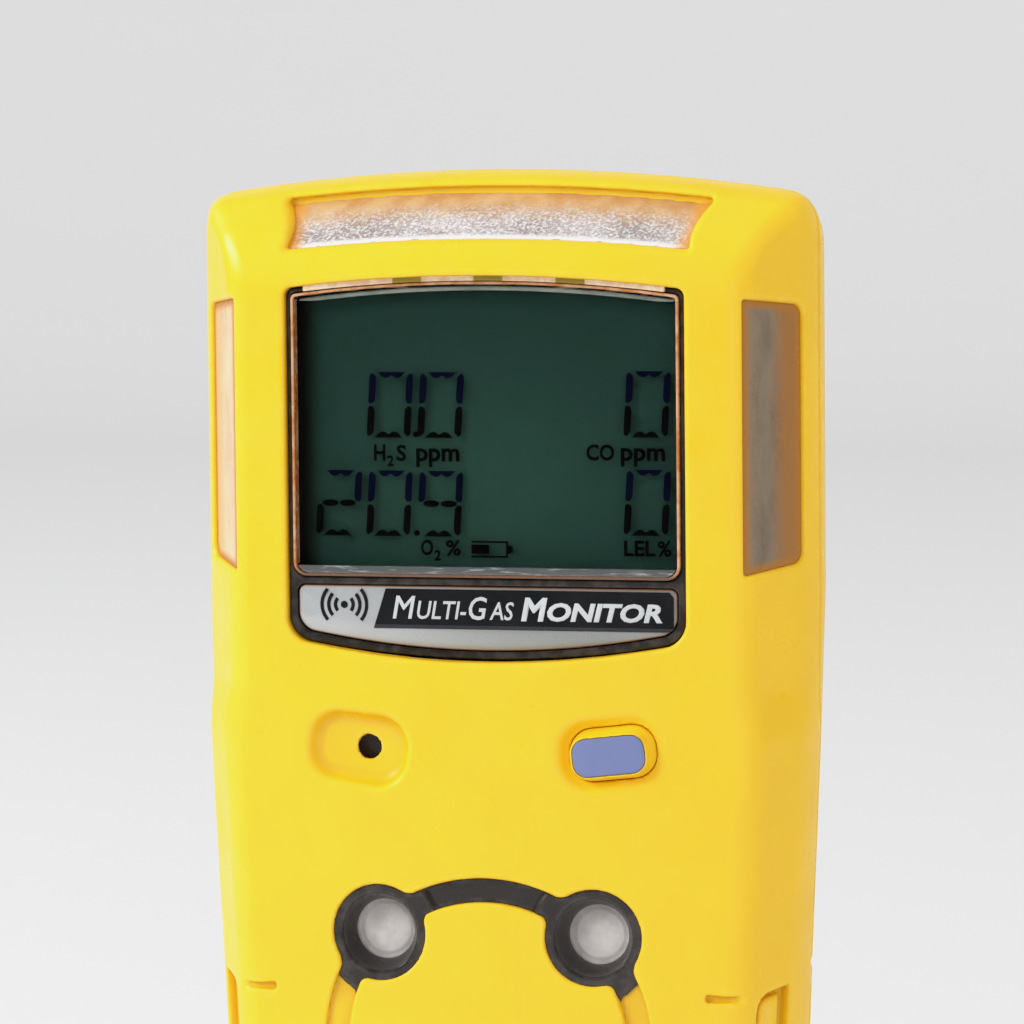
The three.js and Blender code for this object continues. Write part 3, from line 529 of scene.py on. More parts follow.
def silver_print():
    """The name strip's silver field under its clear dome, paler to the left with painted light, and with a
    painted reflection of the yellow as a thin orange rim.
    """
    look = Look("silver_print", (0.45, 0.47, 0.48), rough=0.3, metal=0.2)
    fine = look.noise(0.1, 2)
    slow = look.patchy(7, 3, 0.0, 0.25)
    # painted light: the silver field is paler on the left, where the lamps are
    across = look.ramp(look.axis("X"), -17.0, 10.0)
    colour = look.mix((0.46, 0.48, 0.49), (0.25, 0.265, 0.265), across)
    colour = look.mix(colour, (0.36, 0.38, 0.39), slow)
    # painted reflection: the yellow round the strip shows as a thin orange rim
    rim = look.ramp(look.attribute("rim"), 0.03, 0.22)
    colour = look.mix((0.3, 0.11, 0.02), colour, rim)
    clear_dome = {"Coat Weight": 0.8, "Coat Roughness": 0.06}
    return look.finish(colour, look.ramp(fine, 0.3, 0.7, 0.26, 0.4), look.bump(fine, 0.003), clear_dome)


def painted_reflection_edge():
    """The lens's cut edge, coloured with a painted reflection of the yellow round it, dark brown near its
    bottom.
    """
    look = Look("lens_edge", (0.5, 0.24, 0.1), rough=0.2)
    # painted reflection of the yellow shell, turning dark brown near the bottom of the lens
    yellow_reflection = look.mix((0.48, 0.17, 0.04), (0.62, 0.36, 0.2), look.ramp(look.noise(1.6, 3), 0.35, 0.65))
    low_part = look.ramp(look.axis("Z"), DIVIDER_Z + 1.6, DIVIDER_Z + 0.6)
    colour = look.mix(yellow_reflection, (0.16, 0.085, 0.055), low_part)
    return look.finish(colour, look.patchy(0.7, 3, 0.15, 0.3), look.bump(look.noise(0.6, 3), 0.01))


def polished_foot():
    """The bevel at the lens's foot, grey with pale scratches along it."""
    look = Look("polished_lens_foot", (0.3, 0.31, 0.32), rough=0.2)
    scratch = look.ramp(look.noise(0.5, 5, (5, 1, 0.5)), 0.52, 0.7)
    climb = look.ramp(look.axis("Z"), DIVIDER_Z + 0.6, DIVIDER_Z + 1.25)
    colour = look.mix((0.17, 0.165, 0.16), (0.1, 0.105, 0.105), climb)
    colour = look.mix(colour, (0.36, 0.37, 0.375), scratch)
    rough = look.ramp(scratch, 0.0, 1.0, 0.14, 0.3)
    return look.finish(colour, rough, look.bump(look.noise(0.4, 3), 0.008), {"Coat Weight": 0.6})


def frosted_edge():
    """The dull grey-green line along the top of the lens."""
    look = Look("frosted_lens_top", (0.3, 0.34, 0.31), rough=0.35)
    along = look.patchy(3.5, 3, 0.0, 1.0)
    colour = look.mix((0.2, 0.235, 0.21), (0.36, 0.39, 0.35), along)
    return look.finish(colour, look.ramp(along, 0.0, 1.0, 0.3, 0.42), look.bump(look.noise(0.3, 3), 0.006))


def gasket_foam():
    """The buff gasket over the lens, with three olive stretches where it is glued."""
    look = Look("buff_gasket", (0.72, 0.5, 0.32), rough=0.5)
    patches = 0.0
    for centre in GLUE_PATCHES:
        away = look.math("ABSOLUTE", look.math("SUBTRACT", look.axis("X"), centre))
        patches = look.math("MAXIMUM", patches, look.ramp(away, 1.45, 1.3))
    mottle = look.ramp(look.noise(0.9, 4), 0.35, 0.65)
    colour = look.mix((0.72, 0.5, 0.32), (0.84, 0.68, 0.52), mottle)
    colour = look.mix(colour, (0.3, 0.22, 0.015), patches)
    return look.finish(colour, look.ramp(mottle, 0.0, 1.0, 0.4, 0.55), look.bump(look.noise(0.3, 3), 0.01))


def membrane():
    """The pale porous disc in each gas port."""
    look = Look("port_membrane", (0.62, 0.58, 0.56), rough=0.42)
    colour = look.mix((0.5, 0.46, 0.445), (0.68, 0.64, 0.62), look.patchy(2.6, 3, 0.0, 1.0))
    rough = look.patchy(1.2, 3, 0.3, 0.5)
    return look.finish(colour, rough, look.bump(look.cells(0.2), 0.012), {"Coat Weight": 0.25})


def plated_steel(name="nickel_plated_steel", along=(1, 1, 12)):
    return Look(name, (0.62, 0.62, 0.63), rough=0.24, metal=1.0).brushed(along)


def gold_plate():
    return Look("gold_plate", (0.85, 0.6, 0.24), rough=0.22, metal=1.0).brushed((1, 1, 4))


def label_paper():
    """The blank laminated label."""
    look = Look("laminated_label", (0.72, 0.72, 0.7), rough=0.35)
    look.set("Coat Weight", 0.3)
    # the creases get painted shade from worn()
    return look.worn(grain=0.2, depth=0.006, mottle=0.03, wear=0.3, wear_colour=(0.85, 0.85, 0.84), crease_shade=0.2)


def circuit_board():
    """Green solder mask over a maze of copper tracks, with scattered pads."""
    look = Look("circuit_board", (0.012, 0.11, 0.035), rough=0.35)
    tracks = look.ramp(look.cells(2.6, "DISTANCE_TO_EDGE"), 0.05, 0.09)
    mask = look.mix((0.03, 0.2, 0.06), (0.01, 0.085, 0.03), tracks)
    pads = look.ramp(look.cells(3.1), 0.2, 0.26)
    look.set("Metallic", look.ramp(pads, 0.0, 1.0, 0.9, 0.0))
    colour = look.mix((0.75, 0.6, 0.3), mask, pads)
    return look.finish(colour, look.patchy(2, 3, 0.25, 0.42), look.bump(tracks, 0.03, 0.5))


def cell_plastic():
    return Look("sensor_cell_plastic", (0.55, 0.56, 0.57)).worn(grain=0.3, depth=0.01, mottle=0.08)


def battery_wrap():
    look = Look("battery_wrap", (0.06, 0.16, 0.36), rough=0.25)
    wrinkles = look.noise(3, 4, (1, 1, 3))
    colour = look.mix((0.04, 0.12, 0.29), (0.08, 0.2, 0.42), look.ramp(wrinkles, 0.35, 0.65))
    return look.finish(colour, look.ramp(wrinkles, 0.3, 0.7, 0.18, 0.34), look.bump(wrinkles, 0.15, 0.5))


def white_guide():
    return Look("white_light_guide", (0.78, 0.78, 0.74), rough=0.3).worn(grain=0.4, depth=0.02, mottle=0.04)


def lamp_resin():
    look = Look("lamp_resin", (0.85, 0.8, 0.7), rough=0.12)
    look.set("Coat Weight", 0.6)
    return look.worn(grain=0.3, depth=0.01, mottle=0.08, rough_swing=0.04)


def infrared_resin():
    look = Look("infrared_resin", (0.045, 0.004, 0.008), rough=0.12)
    look.set("Coat Weight", 0.8)
    return look.worn(grain=0.3, depth=0.004, mottle=0.2, rough_swing=0.05)


yellow = yellow_plastic()
satin_black = black_plastic()
rubber = black_rubber()
steel = plated_steel()

# ---- The case's outside ----
FACE_BOW = 260.0      # the display face falls away by x squared over this
CROWN = 356.0         # and so does the top edge
BROW = {"depth": 1.2, "z": 106.4, "run": 8.2, "rise": 6.0}   # where the brow leaves the face, and its slope
EDGE_DEPTH = 2.3      # depth of the crease between the face and the side facets
EDGE_X = 24.4         # and how far it is from the centre line beside the display
LOW_EDGE = {"x": 25.1, "z": 60.0, "slope": 0.0444}           # the same crease below the display
FACET = math.radians(30.6)
DRAFT = 0.19          # how far the back shell's sides lean in per millimetre of depth
TOP_DROP = 0.1        # and how far its top slopes down
FOOT_X = 26.76
TAPER = 0.045
FLARE = {"z": 42.0, "slope": 0.018}    # above this height the sides widen faster
RIB_Z = 38.2          # height of the groove round the back shell's sides
SIDES_OUT = 0.65      # how far the sides may stand out past the CAD shells' half width
BACK_OUT = 0.9        # and where the back's rounded edges start


def edge_x(z):
    lower = LOW_EDGE["x"] + LOW_EDGE["slope"] * (z - LOW_EDGE["z"])
    return lower + (EDGE_X - lower) * smooth_step(z, LOW_EDGE["z"], LOW_EDGE["z"] + 5.5)


def on_facet(x, y, z):
    """Coordinates on a side facet: back from its crease, and out from its surface."""
    across = np.abs(x) - edge_x(z)
    depth = y - FRONT - EDGE_DEPTH
    c, s = math.cos(FACET), math.sin(FACET)
    return across * s + depth * c, across * c - depth * s


def case_form(x, y, z):
    """The closed outside of both shells."""
    ax = np.abs(x)
    depth = y - FRONT
    behind = np.maximum(y - PARTING, 0)
    crowned = z + x * x / CROWN + TOP_DROP * behind
    back = both(y - BACK, ax - HALF_WIDTH - BACK_OUT + DRAFT * behind, 5.5)
    flank = FOOT_X + TAPER * z + FLARE["slope"] * np.maximum(z - FLARE["z"], 0)
    side = both(ax - HALF_WIDTH - SIDES_OUT, ax - flank, 0) + DRAFT * behind
    side = both(side, crowned - TOP, 4.2)
    length = math.hypot(BROW["run"], BROW["rise"])
    brow = ((crowned - BROW["z"]) * BROW["run"] - (depth - BROW["depth"]) * BROW["rise"]) / length
    face = both(x * x / FACE_BOW - depth, brow, 3.0)
    face = both(face, on_facet(x, y, z)[1], 1.3)
    form = both(face, both(side, -z, 5.0), 1.5)
    return both(form, back, 3.0)


# ---- Openings in the front ----
DISPLAY_HALF = 18.95
DISPLAY = {"bottom": 67.85, "bottom_bow": 1.9, "top": 103.5, "top_bow": 1.25}
DIVIDER_Z = low("display_lens")[2] - (DISPLAY_HALF - high("display_lens")[0])


def bowed_panel(x, z, half, bottom, bottom_bow, top, top_bow, low_corner, high_corner):
    """A panel between straight sides whose bottom and top edges bow outwards in the middle."""
    lean = (x / half) ** 2
    sides = both(np.abs(x) - half, z - top + top_bow * lean, high_corner)
    return both(sides, bottom + bottom_bow * lean - z, low_corner)


def display_opening(x, z, inset=0.0):
    return bowed_panel(x, z, DISPLAY_HALF - inset, DISPLAY["bottom"] + inset, DISPLAY["bottom_bow"],
                       DISPLAY["top"] - inset, DISPLAY["top_bow"], 2.0, 0.7)


def lens_outline(x, z, inset):
    return bowed_panel(x, z, DISPLAY_HALF - inset, DIVIDER_Z + inset, 0.0,
                       DISPLAY["top"] - inset, DISPLAY["top_bow"], 1.3, 0.45)


def strip_outline(x, z, inset):
    return bowed_panel(x, z, DISPLAY_HALF - inset, DISPLAY["bottom"] + inset, DISPLAY["bottom_bow"],
                       STRIP_TOP - inset, 0.0, 1.5, 0.7)


BAR = {"low": 106.8, "high": 111.4, "half": 19.15, "flare": 0.25}


def light_bar(x, z, inset=0.0):
    """The top light's outline, on the slope of the brow: its ends lean outwards and curve."""
    crowned = z + x * x / CROWN
    climb = crowned - BAR["low"]
    ends = np.abs(x) - BAR["half"] - BAR["flare"] * climb + 0.5 * np.sin(np.clip(climb / 4.2, 0, 1) * math.pi)
    return both(slab(crowned, BAR["low"] + inset, BAR["high"] - inset), ends + inset, 0.35)


SIDE_WINDOW = {"near": 0.4, "far": 8.25, "low": 75.9, "high": 101.3, "taper": 0.1}


def side_window(x, y, z, inset=0.0):
    """A side light's outline, square to the facet, narrower and with round corners towards the back."""
    back = on_facet(x, y, z)[0]
    lean = SIDE_WINDOW["taper"] * back
    upright = slab(z, SIDE_WINDOW["low"] + lean + inset, SIDE_WINDOW["high"] - lean - inset)
    far = both(upright, back - SIDE_WINDOW["far"] + inset, 1.1)
    return both(far, SIDE_WINDOW["near"] - back + inset, 0.25)


CONTROL_TILT = 6.5
RECESS = {"half": (5.0, 3.5), "depth": 2.3}
GROOVE = {"half": (5.0, 3.3), "depth": 1.15}
KEY_HALF = ((high("button_key")[0] - low("button_key")[0]) / 2 - 1.3, 2.35)
KEY_GAP = 0.16
SOUND_HOLE = {"x": 0.82, "radius": 1.1, "flare": 0.3}


def sound_recess(x, y, z):
    """A shallow spoon that leads to the sounder's hole."""
    u, v = turned(x + BUTTON_X, z - BUTTON_Z, -CONTROL_TILT)
    depth = y - FRONT
    rim = rounded_rect(u, v, *RECESS["half"], 3.1) + 0.28 * depth
    floor = depth - RECESS["depth"] + 0.05 * u + 0.018 * (u * u + v * v)
    return both(rim, floor, 0.9)


def button_groove(x, y, z):
    u, v = turned(x - BUTTON_X, z - BUTTON_Z, CONTROL_TILT)
    depth = y - FRONT
    return both(rounded_rect(u, v, *GROOVE["half"], 2.9) + 0.45 * depth, depth - GROOVE["depth"], 0.5)


def key_outline(x, z, grow):
    u, v = turned(x - BUTTON_X, z - BUTTON_Z, CONTROL_TILT)
    return rounded_rect(u, v, KEY_HALF[0] + grow, KEY_HALF[1] + grow, 2.1 + grow)


PORT_RADIUS = 4.5
LOOP_HALF = 1.13


def port_distance(x, z):
    """Distance to the nearest gas port's centre."""
    return np.hypot(np.abs(x) - PORT_X, np.abs(z - SENSOR_Z) - PORT_X)


def loop_band(x, z):
    return np.abs(np.hypot(x, z - SENSOR_Z) - LOOP_RADIUS) - LOOP_HALF


def loop_outline(x, z):
    """The four port rings and the loop that joins them, with small fillets between them."""
    return either(port_distance(x, z) - PORT_RADIUS, loop_band(x, z), 0.7)


SLIT = {"x": 22.75, "half": 2.2, "z": 36.9, "floor": 2.55}


def slit(x, y, z):
    """A short shallow groove, a little taller at its ends."""
    along = np.abs(x) - SLIT["x"]
    half_height = 0.28 + 0.12 * np.clip(np.abs(along) / SLIT["half"], 0, 1) ** 2
    bowed = z - SLIT["z"] - 0.1 * (along / SLIT["half"]) ** 2
    plan = both(np.abs(along) - SLIT["half"], np.abs(bowed) - half_height, 0.3)
    return both(plan, y - FRONT - SLIT["floor"] - 0.1 * along, 0.2)


GRIP = {"near": 1.9, "far": 6.2, "low": 21.0, "high": 37.6, "depth": 1.3}


def grip_pocket(x, y, z):
    """The finger grip: a pocket in each side facet, with a plateau standing inside it."""
    back, out = on_facet(x, y, z)
    upright = slab(z, GRIP["low"], GRIP["high"] + 0.16 * (back - GRIP["far"]))
    plan = both(both(upright, back - GRIP["far"], 0.3), GRIP["near"] - back, 1.6)
    pocket = both(plan, -GRIP["depth"] - out, 0.3)
    plateau = both(plan + 0.65, out + 0.3 + 0.12 * (back - GRIP["near"]), 0.3)
    return without(pocket, plateau)


SCREW_SEAT = {
    "front_post": 2.6, "front_hole": 1.35,
    "back_post": 3.1, "back_hole": 1.5,
    "pocket": 2.4, "pocket_depth": 4.5,
}
THROUGH = 6.0    # deep enough to cut through the front wall


def nearest_screw(x, z):
    return np.minimum.reduce([np.hypot(x - place[0], z - place[2]) for place in SCREWS.values()])


def front_shell(x, y, z):
    depth = y - FRONT
    form = case_form(x, y, z)
    pads = both(np.minimum(port_distance(x, z) - PORT_RADIUS - 1.3,
                           rounded_rect(x + BUTTON_X, z - BUTTON_Z, 6.3, 4.7, 3)), slab(depth, 1, 4))
    posts = both(nearest_screw(x, z) - SCREW_SEAT["front_post"], 3 - depth)
    solid = np.minimum(without(form, form + WALL), both(np.minimum(pads, posts), form))
    solid = without(solid, display_opening(x, z), 0.45)
    solid = without(solid, both(light_bar(x, z), depth - 9.2), 0.75)
    solid = without(solid, both(side_window(x, y, z), -form - 4), 0.5)
    solid = without(solid, sound_recess(x, y, z), 0.55)
    widening = SOUND_HOLE["flare"] * np.maximum(depth - RECESS["depth"], 0)
    hole = np.hypot(x + BUTTON_X - SOUND_HOLE["x"], z - BUTTON_Z) - SOUND_HOLE["radius"] - widening
    solid = without(solid, both(hole, depth - THROUGH), 0.12)
    solid = without(solid, button_groove(x, y, z), 0.7)
    solid = without(solid, both(key_outline(x, z, KEY_GAP), depth - THROUGH), 0.1)
    ports = both(port_distance(x, z) - PORT_RADIUS, depth - 7)
    solid = without(solid, np.minimum(ports, both(loop_outline(x, z), depth - 1.5)), 0.3)
    solid = without(solid, slit(x, y, z), 0.25)
    solid = without(solid, grip_pocket(x, y, z), 0.3)
    screw_holes = both(both(nearest_screw(x, z) - SCREW_SEAT["front_hole"], 5 - depth), form + 1.0)
    solid = without(solid, screw_holes)
    return both(solid, y - PARTING + SEAM, 0.25)


LABEL_HALF = (high("rear_label")[0] + 0.3, (high("rear_label")[2] - low("rear_label")[2]) / 2 + 0.3)
LABEL_Z = middle("rear_label")[2]
BAY_HALF = 8.8        # the bay that the clip lies in
BAY_BOTTOM = 55.0
RIBS_FROM = 24.0      # the side ribs start this far from the centre line
RIDGES = {"count": 6, "lowest": 14.0, "apart": 3.4, "radius": 0.55}
SEAL = {"outer": 1.1, "inner": 1.8, "groove": 1.4}    # how far inside the case's outside the seal lies


def back_shell(x, y, z):
    form = case_form(x, y, z)
    bay_wall = both(BAY - WALL - y, both(np.abs(x) - BAY_HALF - 1.2, slab(z, BAY_BOTTOM - 1.2, TOP - 3)))
    nut = both(np.hypot(x, z - middle("clip_screw")[2]) - 3.4, slab(y, BAY - 3.4, BAY))
    posts = nearest_screw(x, z) - SCREW_SEAT["back_post"]
    solid = np.minimum(without(form, form + WALL), both(np.minimum(np.minimum(bay_wall, nut), posts), form))
    bay = both(rounded_rect(x, z - BAY_BOTTOM - 40, BAY_HALF, 40, 3), BAY - y, 0.6)
    solid = without(solid, bay, 0.8)
    label = rounded_rect(x, z - LABEL_Z, *LABEL_HALF, 2)
    solid = without(solid, both(label, BACK - 0.4 - y), 0.15)
    solid = without(solid, both(np.hypot(x, z - middle("clip_screw")[2]) - 1.3, BAY - 3 - y), 0.1)
    mouth = rounded_rect(x, y - SOCKET_Y, 7.3, 3.3, 1.2)
    window = rounded_rect(x - middle("infrared_window")[0], y - SOCKET_Y, 2.6, 1.6, 1.5)
    solid = without(solid, both(np.minimum(mouth, window), z - 6), 0.4)
    solid = without(solid, nearest_screw(x, z) - SCREW_SEAT["back_hole"])
    pockets = both(nearest_screw(x, z) - SCREW_SEAT["pocket"], BACK - SCREW_SEAT["pocket_depth"] - y)
    solid = without(solid, pockets, 0.35)
    side_rib = both(np.abs(z - RIB_Z) - 0.75 - 0.55 * (form + 0.6), -form - 0.6, 0.2)
    solid = without(solid, both(side_rib, RIBS_FROM - np.abs(x), 0.5), 0.3)
    for number in range(RIDGES["count"]):
        ridge_z = RIDGES["lowest"] + RIDGES["apart"] * number
        ridge = np.hypot(z - ridge_z, form + 0.05) - RIDGES["radius"]
        ends = both(RIBS_FROM - np.abs(x), PARTING + 2.2 - y, 0.4)
        solid = without(solid, both(both(ridge, y - 5.5, 0.4), ends, 0.4), 0.25)
    seal = slab(form, -SEAL["inner"] - SEAM, -SEAL["outer"] + SEAM)
    solid = without(solid, both(seal, y - PARTING - SEAL["groove"]))
    return both(solid, PARTING + SEAM - y, 0.25)


SHELL_STEP = 0.3
piece("front_case_skin", front_shell, (-30, FRONT, 0), (30, PARTING, TOP), SHELL_STEP, yellow,
      replaces=["front_shell"], slot="yellow_shell", triangles=110000)
piece("back_case_skin", back_shell, (-30.2, PARTING, 0), (30.2, BACK, TOP), SHELL_STEP, yellow,
      replaces=["back_shell"], slot="yellow_shell", triangles=100000)


# ---- The alarm windows ----
def top_window(x, y, z):
    form = case_form(x, y, z)
    return both(both(light_bar(x, z, -0.1), y - FRONT - 9.3), slab(form, -2.2, -1.1), 0.05)


def top_window_marks(x, y, z):
    crowned = z + x * x / CROWN
    ends = BAR["half"] + BAR["flare"] * (crowned - BAR["low"]) - np.abs(x)
    return {"up": (crowned - BAR["low"]) / (BAR["high"] - BAR["low"]), "ends": ends}


def side_light(x, y, z):
    form = case_form(x, y, z)
    return both(side_window(x, y, z, -0.06), slab(form, -1.9, -0.5), 0.05)


def side_light_marks(x, y, z):
    return {"rim": -side_window(x, y, z), "back": on_facet(x, y, z)[0]}


def alarm_windows():
    lowest, highest = around("top_alarm_window", 1)
    piece("top_light_bar", top_window, lowest, highest, 0.2, frosted_bar(), replaces=["top_alarm_window"],
          slot="alarm_window", triangles=30000, extra=top_window_marks)
    # painted light: the left window gets pale tones as if lit from the left, the right window darker shaded
    # tones of the same plastic
    lit_and_shaded_tones = {"left": ((0.78, 0.42, 0.23), (0.68, 0.38, 0.22), (0.75, 0.38, 0.18)),
             "right": ((0.3, 0.19, 0.11), (0.165, 0.125, 0.082), (0.35, 0.15, 0.028))}
    for side, (front, middling, back_colour) in lit_and_shaded_tones.items():
        smoky = side_window_plastic(f"smoky_{side}_window", front, middling, back_colour)
        lowest, highest = around(f"{side}_alarm_window", 0.8)
        piece(f"{side}_light_window", side_light, lowest, highest, 0.2, smoky,
              replaces=[f"{side}_alarm_window"], slot="alarm_window", triangles=16000, extra=side_light_marks)


alarm_windows()

# ---- The display ----
BEZEL_Y = low("display_lens")[1]
LENS_BACK = high("display_lens")[1]
LCD_Y = low("lcd_panel")[1]
LENS_INSET = DISPLAY_HALF - high("display_lens")[0]
STRIP_INSET = DISPLAY_HALF - high("name_strip")[0]
STRIP_TOP = high("name_strip")[2] + STRIP_INSET
EDGE_WIDTH = 0.27
GLUE_PATCHES = (-7.15, 0.57, 8.34)


def bezel(x, y, z):
    depth = y - BEZEL_Y
    frame_part = both(display_opening(x, z, 0.1), slab(depth, 0.35, 2.0), 0.2)
    through = lens_outline(x, z, LENS_INSET - 0.08)
    pocket = both(strip_outline(x, z, STRIP_INSET - 0.08), depth - 1.8)
    return without(without(frame_part, through, 0.12), pocket, 0.12)


def lens(x, y, z):
    """A clear plate with a faint dome."""
    depth = y - BEZEL_Y - 0.12 * ((x / DISPLAY_HALF) ** 2)
    outline = lens_outline(x, z, LENS_INSET + EDGE_WIDTH - 0.05)
    return both(outline, slab(depth, 0.0, LENS_BACK - BEZEL_Y), 0.06)


def lens_rim(x, y, z):
    """The lens's cut edge, which stands round the plate so that it can show its own colours."""
    outline = lens_outline(x, z, LENS_INSET)
    ring = both(outline, -EDGE_WIDTH - outline, 0.04)
    return both(ring, slab(y - BEZEL_Y, 0.0, LENS_BACK - BEZEL_Y), 0.1)


def lens_foot(x, y, z):
    """The sloping bevel inside the lens's lower edge."""
    outline = lens_outline(x, z, LENS_INSET + EDGE_WIDTH)
    up = z - DIVIDER_Z - LENS_INSET - EDGE_WIDTH
    wedge = both(0.9 * (y - LENS_BACK) + up, slab(up, -0.1, 0.72), 0.05)
    return both(both(wedge, outline), slab(y - BEZEL_Y, 0.12, LENS_BACK - BEZEL_Y - 0.03), 0.04)


def lens_top_line(x, y, z):
    """The frosted line just inside the lens's upper edge."""
    outline = lens_outline(x, z, LENS_INSET + EDGE_WIDTH)
    corner_z = DISPLAY["top"] - DISPLAY["top_bow"] - 1.2
    line = both(slab(outline, -0.62, -0.22), both(corner_z - z, np.abs(x) - DISPLAY_HALF + 1.1), 0.08)
    return both(line, slab(y - LENS_BACK, -0.3, -0.05), 0.04)


def gasket(x, y, z):
    """A thin strip between the opening's upper edge and the lens."""
    outline = display_opening(x, z, 0.0)
    strip = both(slab(outline, -0.5, 0.15), both(98 - z, np.abs(x) - DISPLAY_HALF + 1.8), 0.1)
    return both(strip, slab(y - BEZEL_Y, -0.12, 0.42), 0.06)


def strip_dome(x, y, z):
    """The name strip under its clear dome."""
    outline = strip_outline(x, z, STRIP_INSET)
    depth = y - low("name_strip")[1]
    crown = 0.3 * (1 - np.exp(np.minimum(outline, 0) / 0.6))
    return both(outline, slab(depth, 0.3 - crown, 1.35), 0.1)


def strip_dome_marks(x, y, z):
    return {"rim": -strip_outline(x, z, STRIP_INSET)}


def panel_plan(x, z):
    """The display panel's outline."""
    middle_z = middle("lcd_panel")[2]
    highest = high("lcd_panel")
    return rounded_rect(x, z - middle_z, highest[0], highest[2] - middle_z, 0.5)


def reflector(x, y, z):
    return both(panel_plan(x, z), slab(y, LCD_Y + 0.55, high("lcd_panel")[1]), 0.08)


def reflector_marks(x, y, z):
    # a painted pool of light in the middle, and the distance from the left edge for painted shade
    light_pool = np.exp(-((x + 1) / 13) ** 2 - ((z - 84) / 9.5) ** 2)
    return {"light_pool": light_pool, "left": x + DISPLAY_HALF - 0.9}


def front_glass(x, y, z):
    return both(panel_plan(x, z), slab(y, LCD_Y, LCD_Y + 0.5), 0.08)


def display_pieces():
    corners = (-19, BEZEL_Y, 67.5), (19, BEZEL_Y + 2.1, 103.6)
    lens_box = around("display_lens", 0.3)
    lens_plastic = clear_plastic("clear_lens_plastic", (0.95, 0.97, 0.96), 0.03, 1.16)
    panel_glass = clear_plastic("display_glass", (0.9, 0.95, 0.93), 0.04, 1.1)
    piece("display_surround", bezel, *corners, 0.2, satin_black, replaces=["display_bezel"],
          slot="black_plastic", triangles=40000)
    piece("clear_lens", lens, *lens_box, 0.3, lens_plastic, replaces=["display_lens"], slot="display_lens",
          triangles=20000)
    piece("lens_cut_edge", lens_rim, *lens_box, 0.13, painted_reflection_edge(), slot="display_lens", triangles=30000)
    lowest, highest = lens_box
    foot_top = (highest[0], highest[1], DIVIDER_Z + 2.5)
    piece("lens_polished_foot", lens_foot, lowest, foot_top, 0.13, polished_foot(), slot="display_lens",
          triangles=14000)
    piece("lens_top_line", lens_top_line, (lowest[0], lowest[1], 99), highest, 0.11, frosted_edge(),
          slot="display_lens", triangles=14000)
    gasket_box = (lowest[0], BEZEL_Y - 0.5, 100), (highest[0], BEZEL_Y + 1, highest[2] + 0.6)
    piece("lens_gasket", gasket, *gasket_box, 0.13, gasket_foam(), slot="black_rubber", triangles=14000)
    piece("name_plate", strip_dome, *around("name_strip", 0.3), 0.16, silver_print(), replaces=["name_strip"],
          slot="name_strip", triangles=30000, extra=strip_dome_marks)
    piece("display_cell", reflector, *around("lcd_panel", 0.3), 0.35, lcd_reflector(), replaces=["lcd_panel"],
          slot="lcd_panel", triangles=16000, extra=reflector_marks)
    piece("display_cover_glass", front_glass, *around("lcd_panel", 0.3), 0.25, panel_glass, slot="lcd_panel",
          triangles=16000)


display_pieces()


# ---- What the display and the name strip show ----
def prisms(name, outlines, y0, y1, materials, body="case"):
    """Flat closed shapes, drawn as outlines in x and z and filled from y0 to y1."""
    made = bmesh.new()
    for outline in outlines:
        rings = [[made.verts.new((u * MM, y * MM, v * MM)) for u, v in outline] for y in (y0, y1)]
        made.faces.new(rings[0])
        made.faces.new(rings[1][::-1])
        for i in range(len(outline)):
            j = (i + 1) % len(outline)
            made.faces.new((rings[0][j], rings[0][i], rings[1][i], rings[1][j]))
    bmesh.ops.recalc_face_normals(made, faces=made.faces)
    mesh = bpy.data.meshes.new(name)
    made.to_mesh(mesh)
    made.free()
    return placed(name, mesh, materials, body)


DIGIT = {"width": 4.2, "height": 6.1, "lean": 0.062, "bar": 0.66}


def leaf(cx, cz, half_u, half_v, steps=14):
    turns = [2 * math.pi * i / steps for i in range(steps)]
    return [(cx + half_u * math.cos(t), cz + half_v * math.sin(t)) for t in turns]


def digit_outlines(number, x, z):
    """The lit segments of one slanted digit whose lower left corner is at x, z."""
    w, h, b = DIGIT["width"], DIGIT["height"], DIGIT["bar"]
    gap = 0.12
    upright = [(0, 0.07), (0.14, 0), (b * 0.7, 0.02), (b, 0.14), (b, 0.86), (0.3, 1.0), (0.12, 0.98),
               (0, 0.9)]
    half = h / 2 - 2 * gap
    humps = [(0.16, 1), (0.84, 1), (0.8, 0.9), (0.72, 0.25), (0.62, 0), (0.56, 0.2), (0.5, 0.5), (0.44, 0.2),
             (0.38, 0), (0.28, 0.25), (0.2, 0.9)]

    def bar_at(edge_z, direction):
        points = [(u * w, edge_z - direction * (1 - v) * b * 0.9) for u, v in humps]
        return points if direction > 0 else points[::-1]

    def side_at(base_x, mirror, base_z, flip):
        points = []
        for u, v in upright:
            points.append((base_x + mirror * u, base_z + (half * v if not flip else half * (1 - v))))
        return points

    segments = {
        "top": [bar_at(h, 1)],
        "bottom": [bar_at(0, -1)],
        "middle": [leaf(w * 0.3, h / 2, w * 0.19, b * 0.48), leaf(w * 0.7, h / 2, w * 0.19, b * 0.48)],
        "upper_left": [side_at(0, 1, h / 2 + gap, False)],
        "upper_right": [side_at(w, -1, h / 2 + gap, False)],
        "lower_left": [side_at(0, 1, gap, True)],
        "lower_right": [side_at(w, -1, gap, True)],
    }
    lit = {
        0: ("top", "bottom", "upper_left", "upper_right", "lower_left", "lower_right"),
        2: ("top", "upper_right", "middle", "lower_left", "bottom"),
        9: ("top", "upper_left", "upper_right", "middle", "lower_right", "bottom"),
    }[number]
    outlines = {part: segments[part] for part in lit}
    return {part: [[(x + u + DIGIT["lean"] * v, z + v) for u, v in o] for o in shapes]
            for part, shapes in outlines.items()}


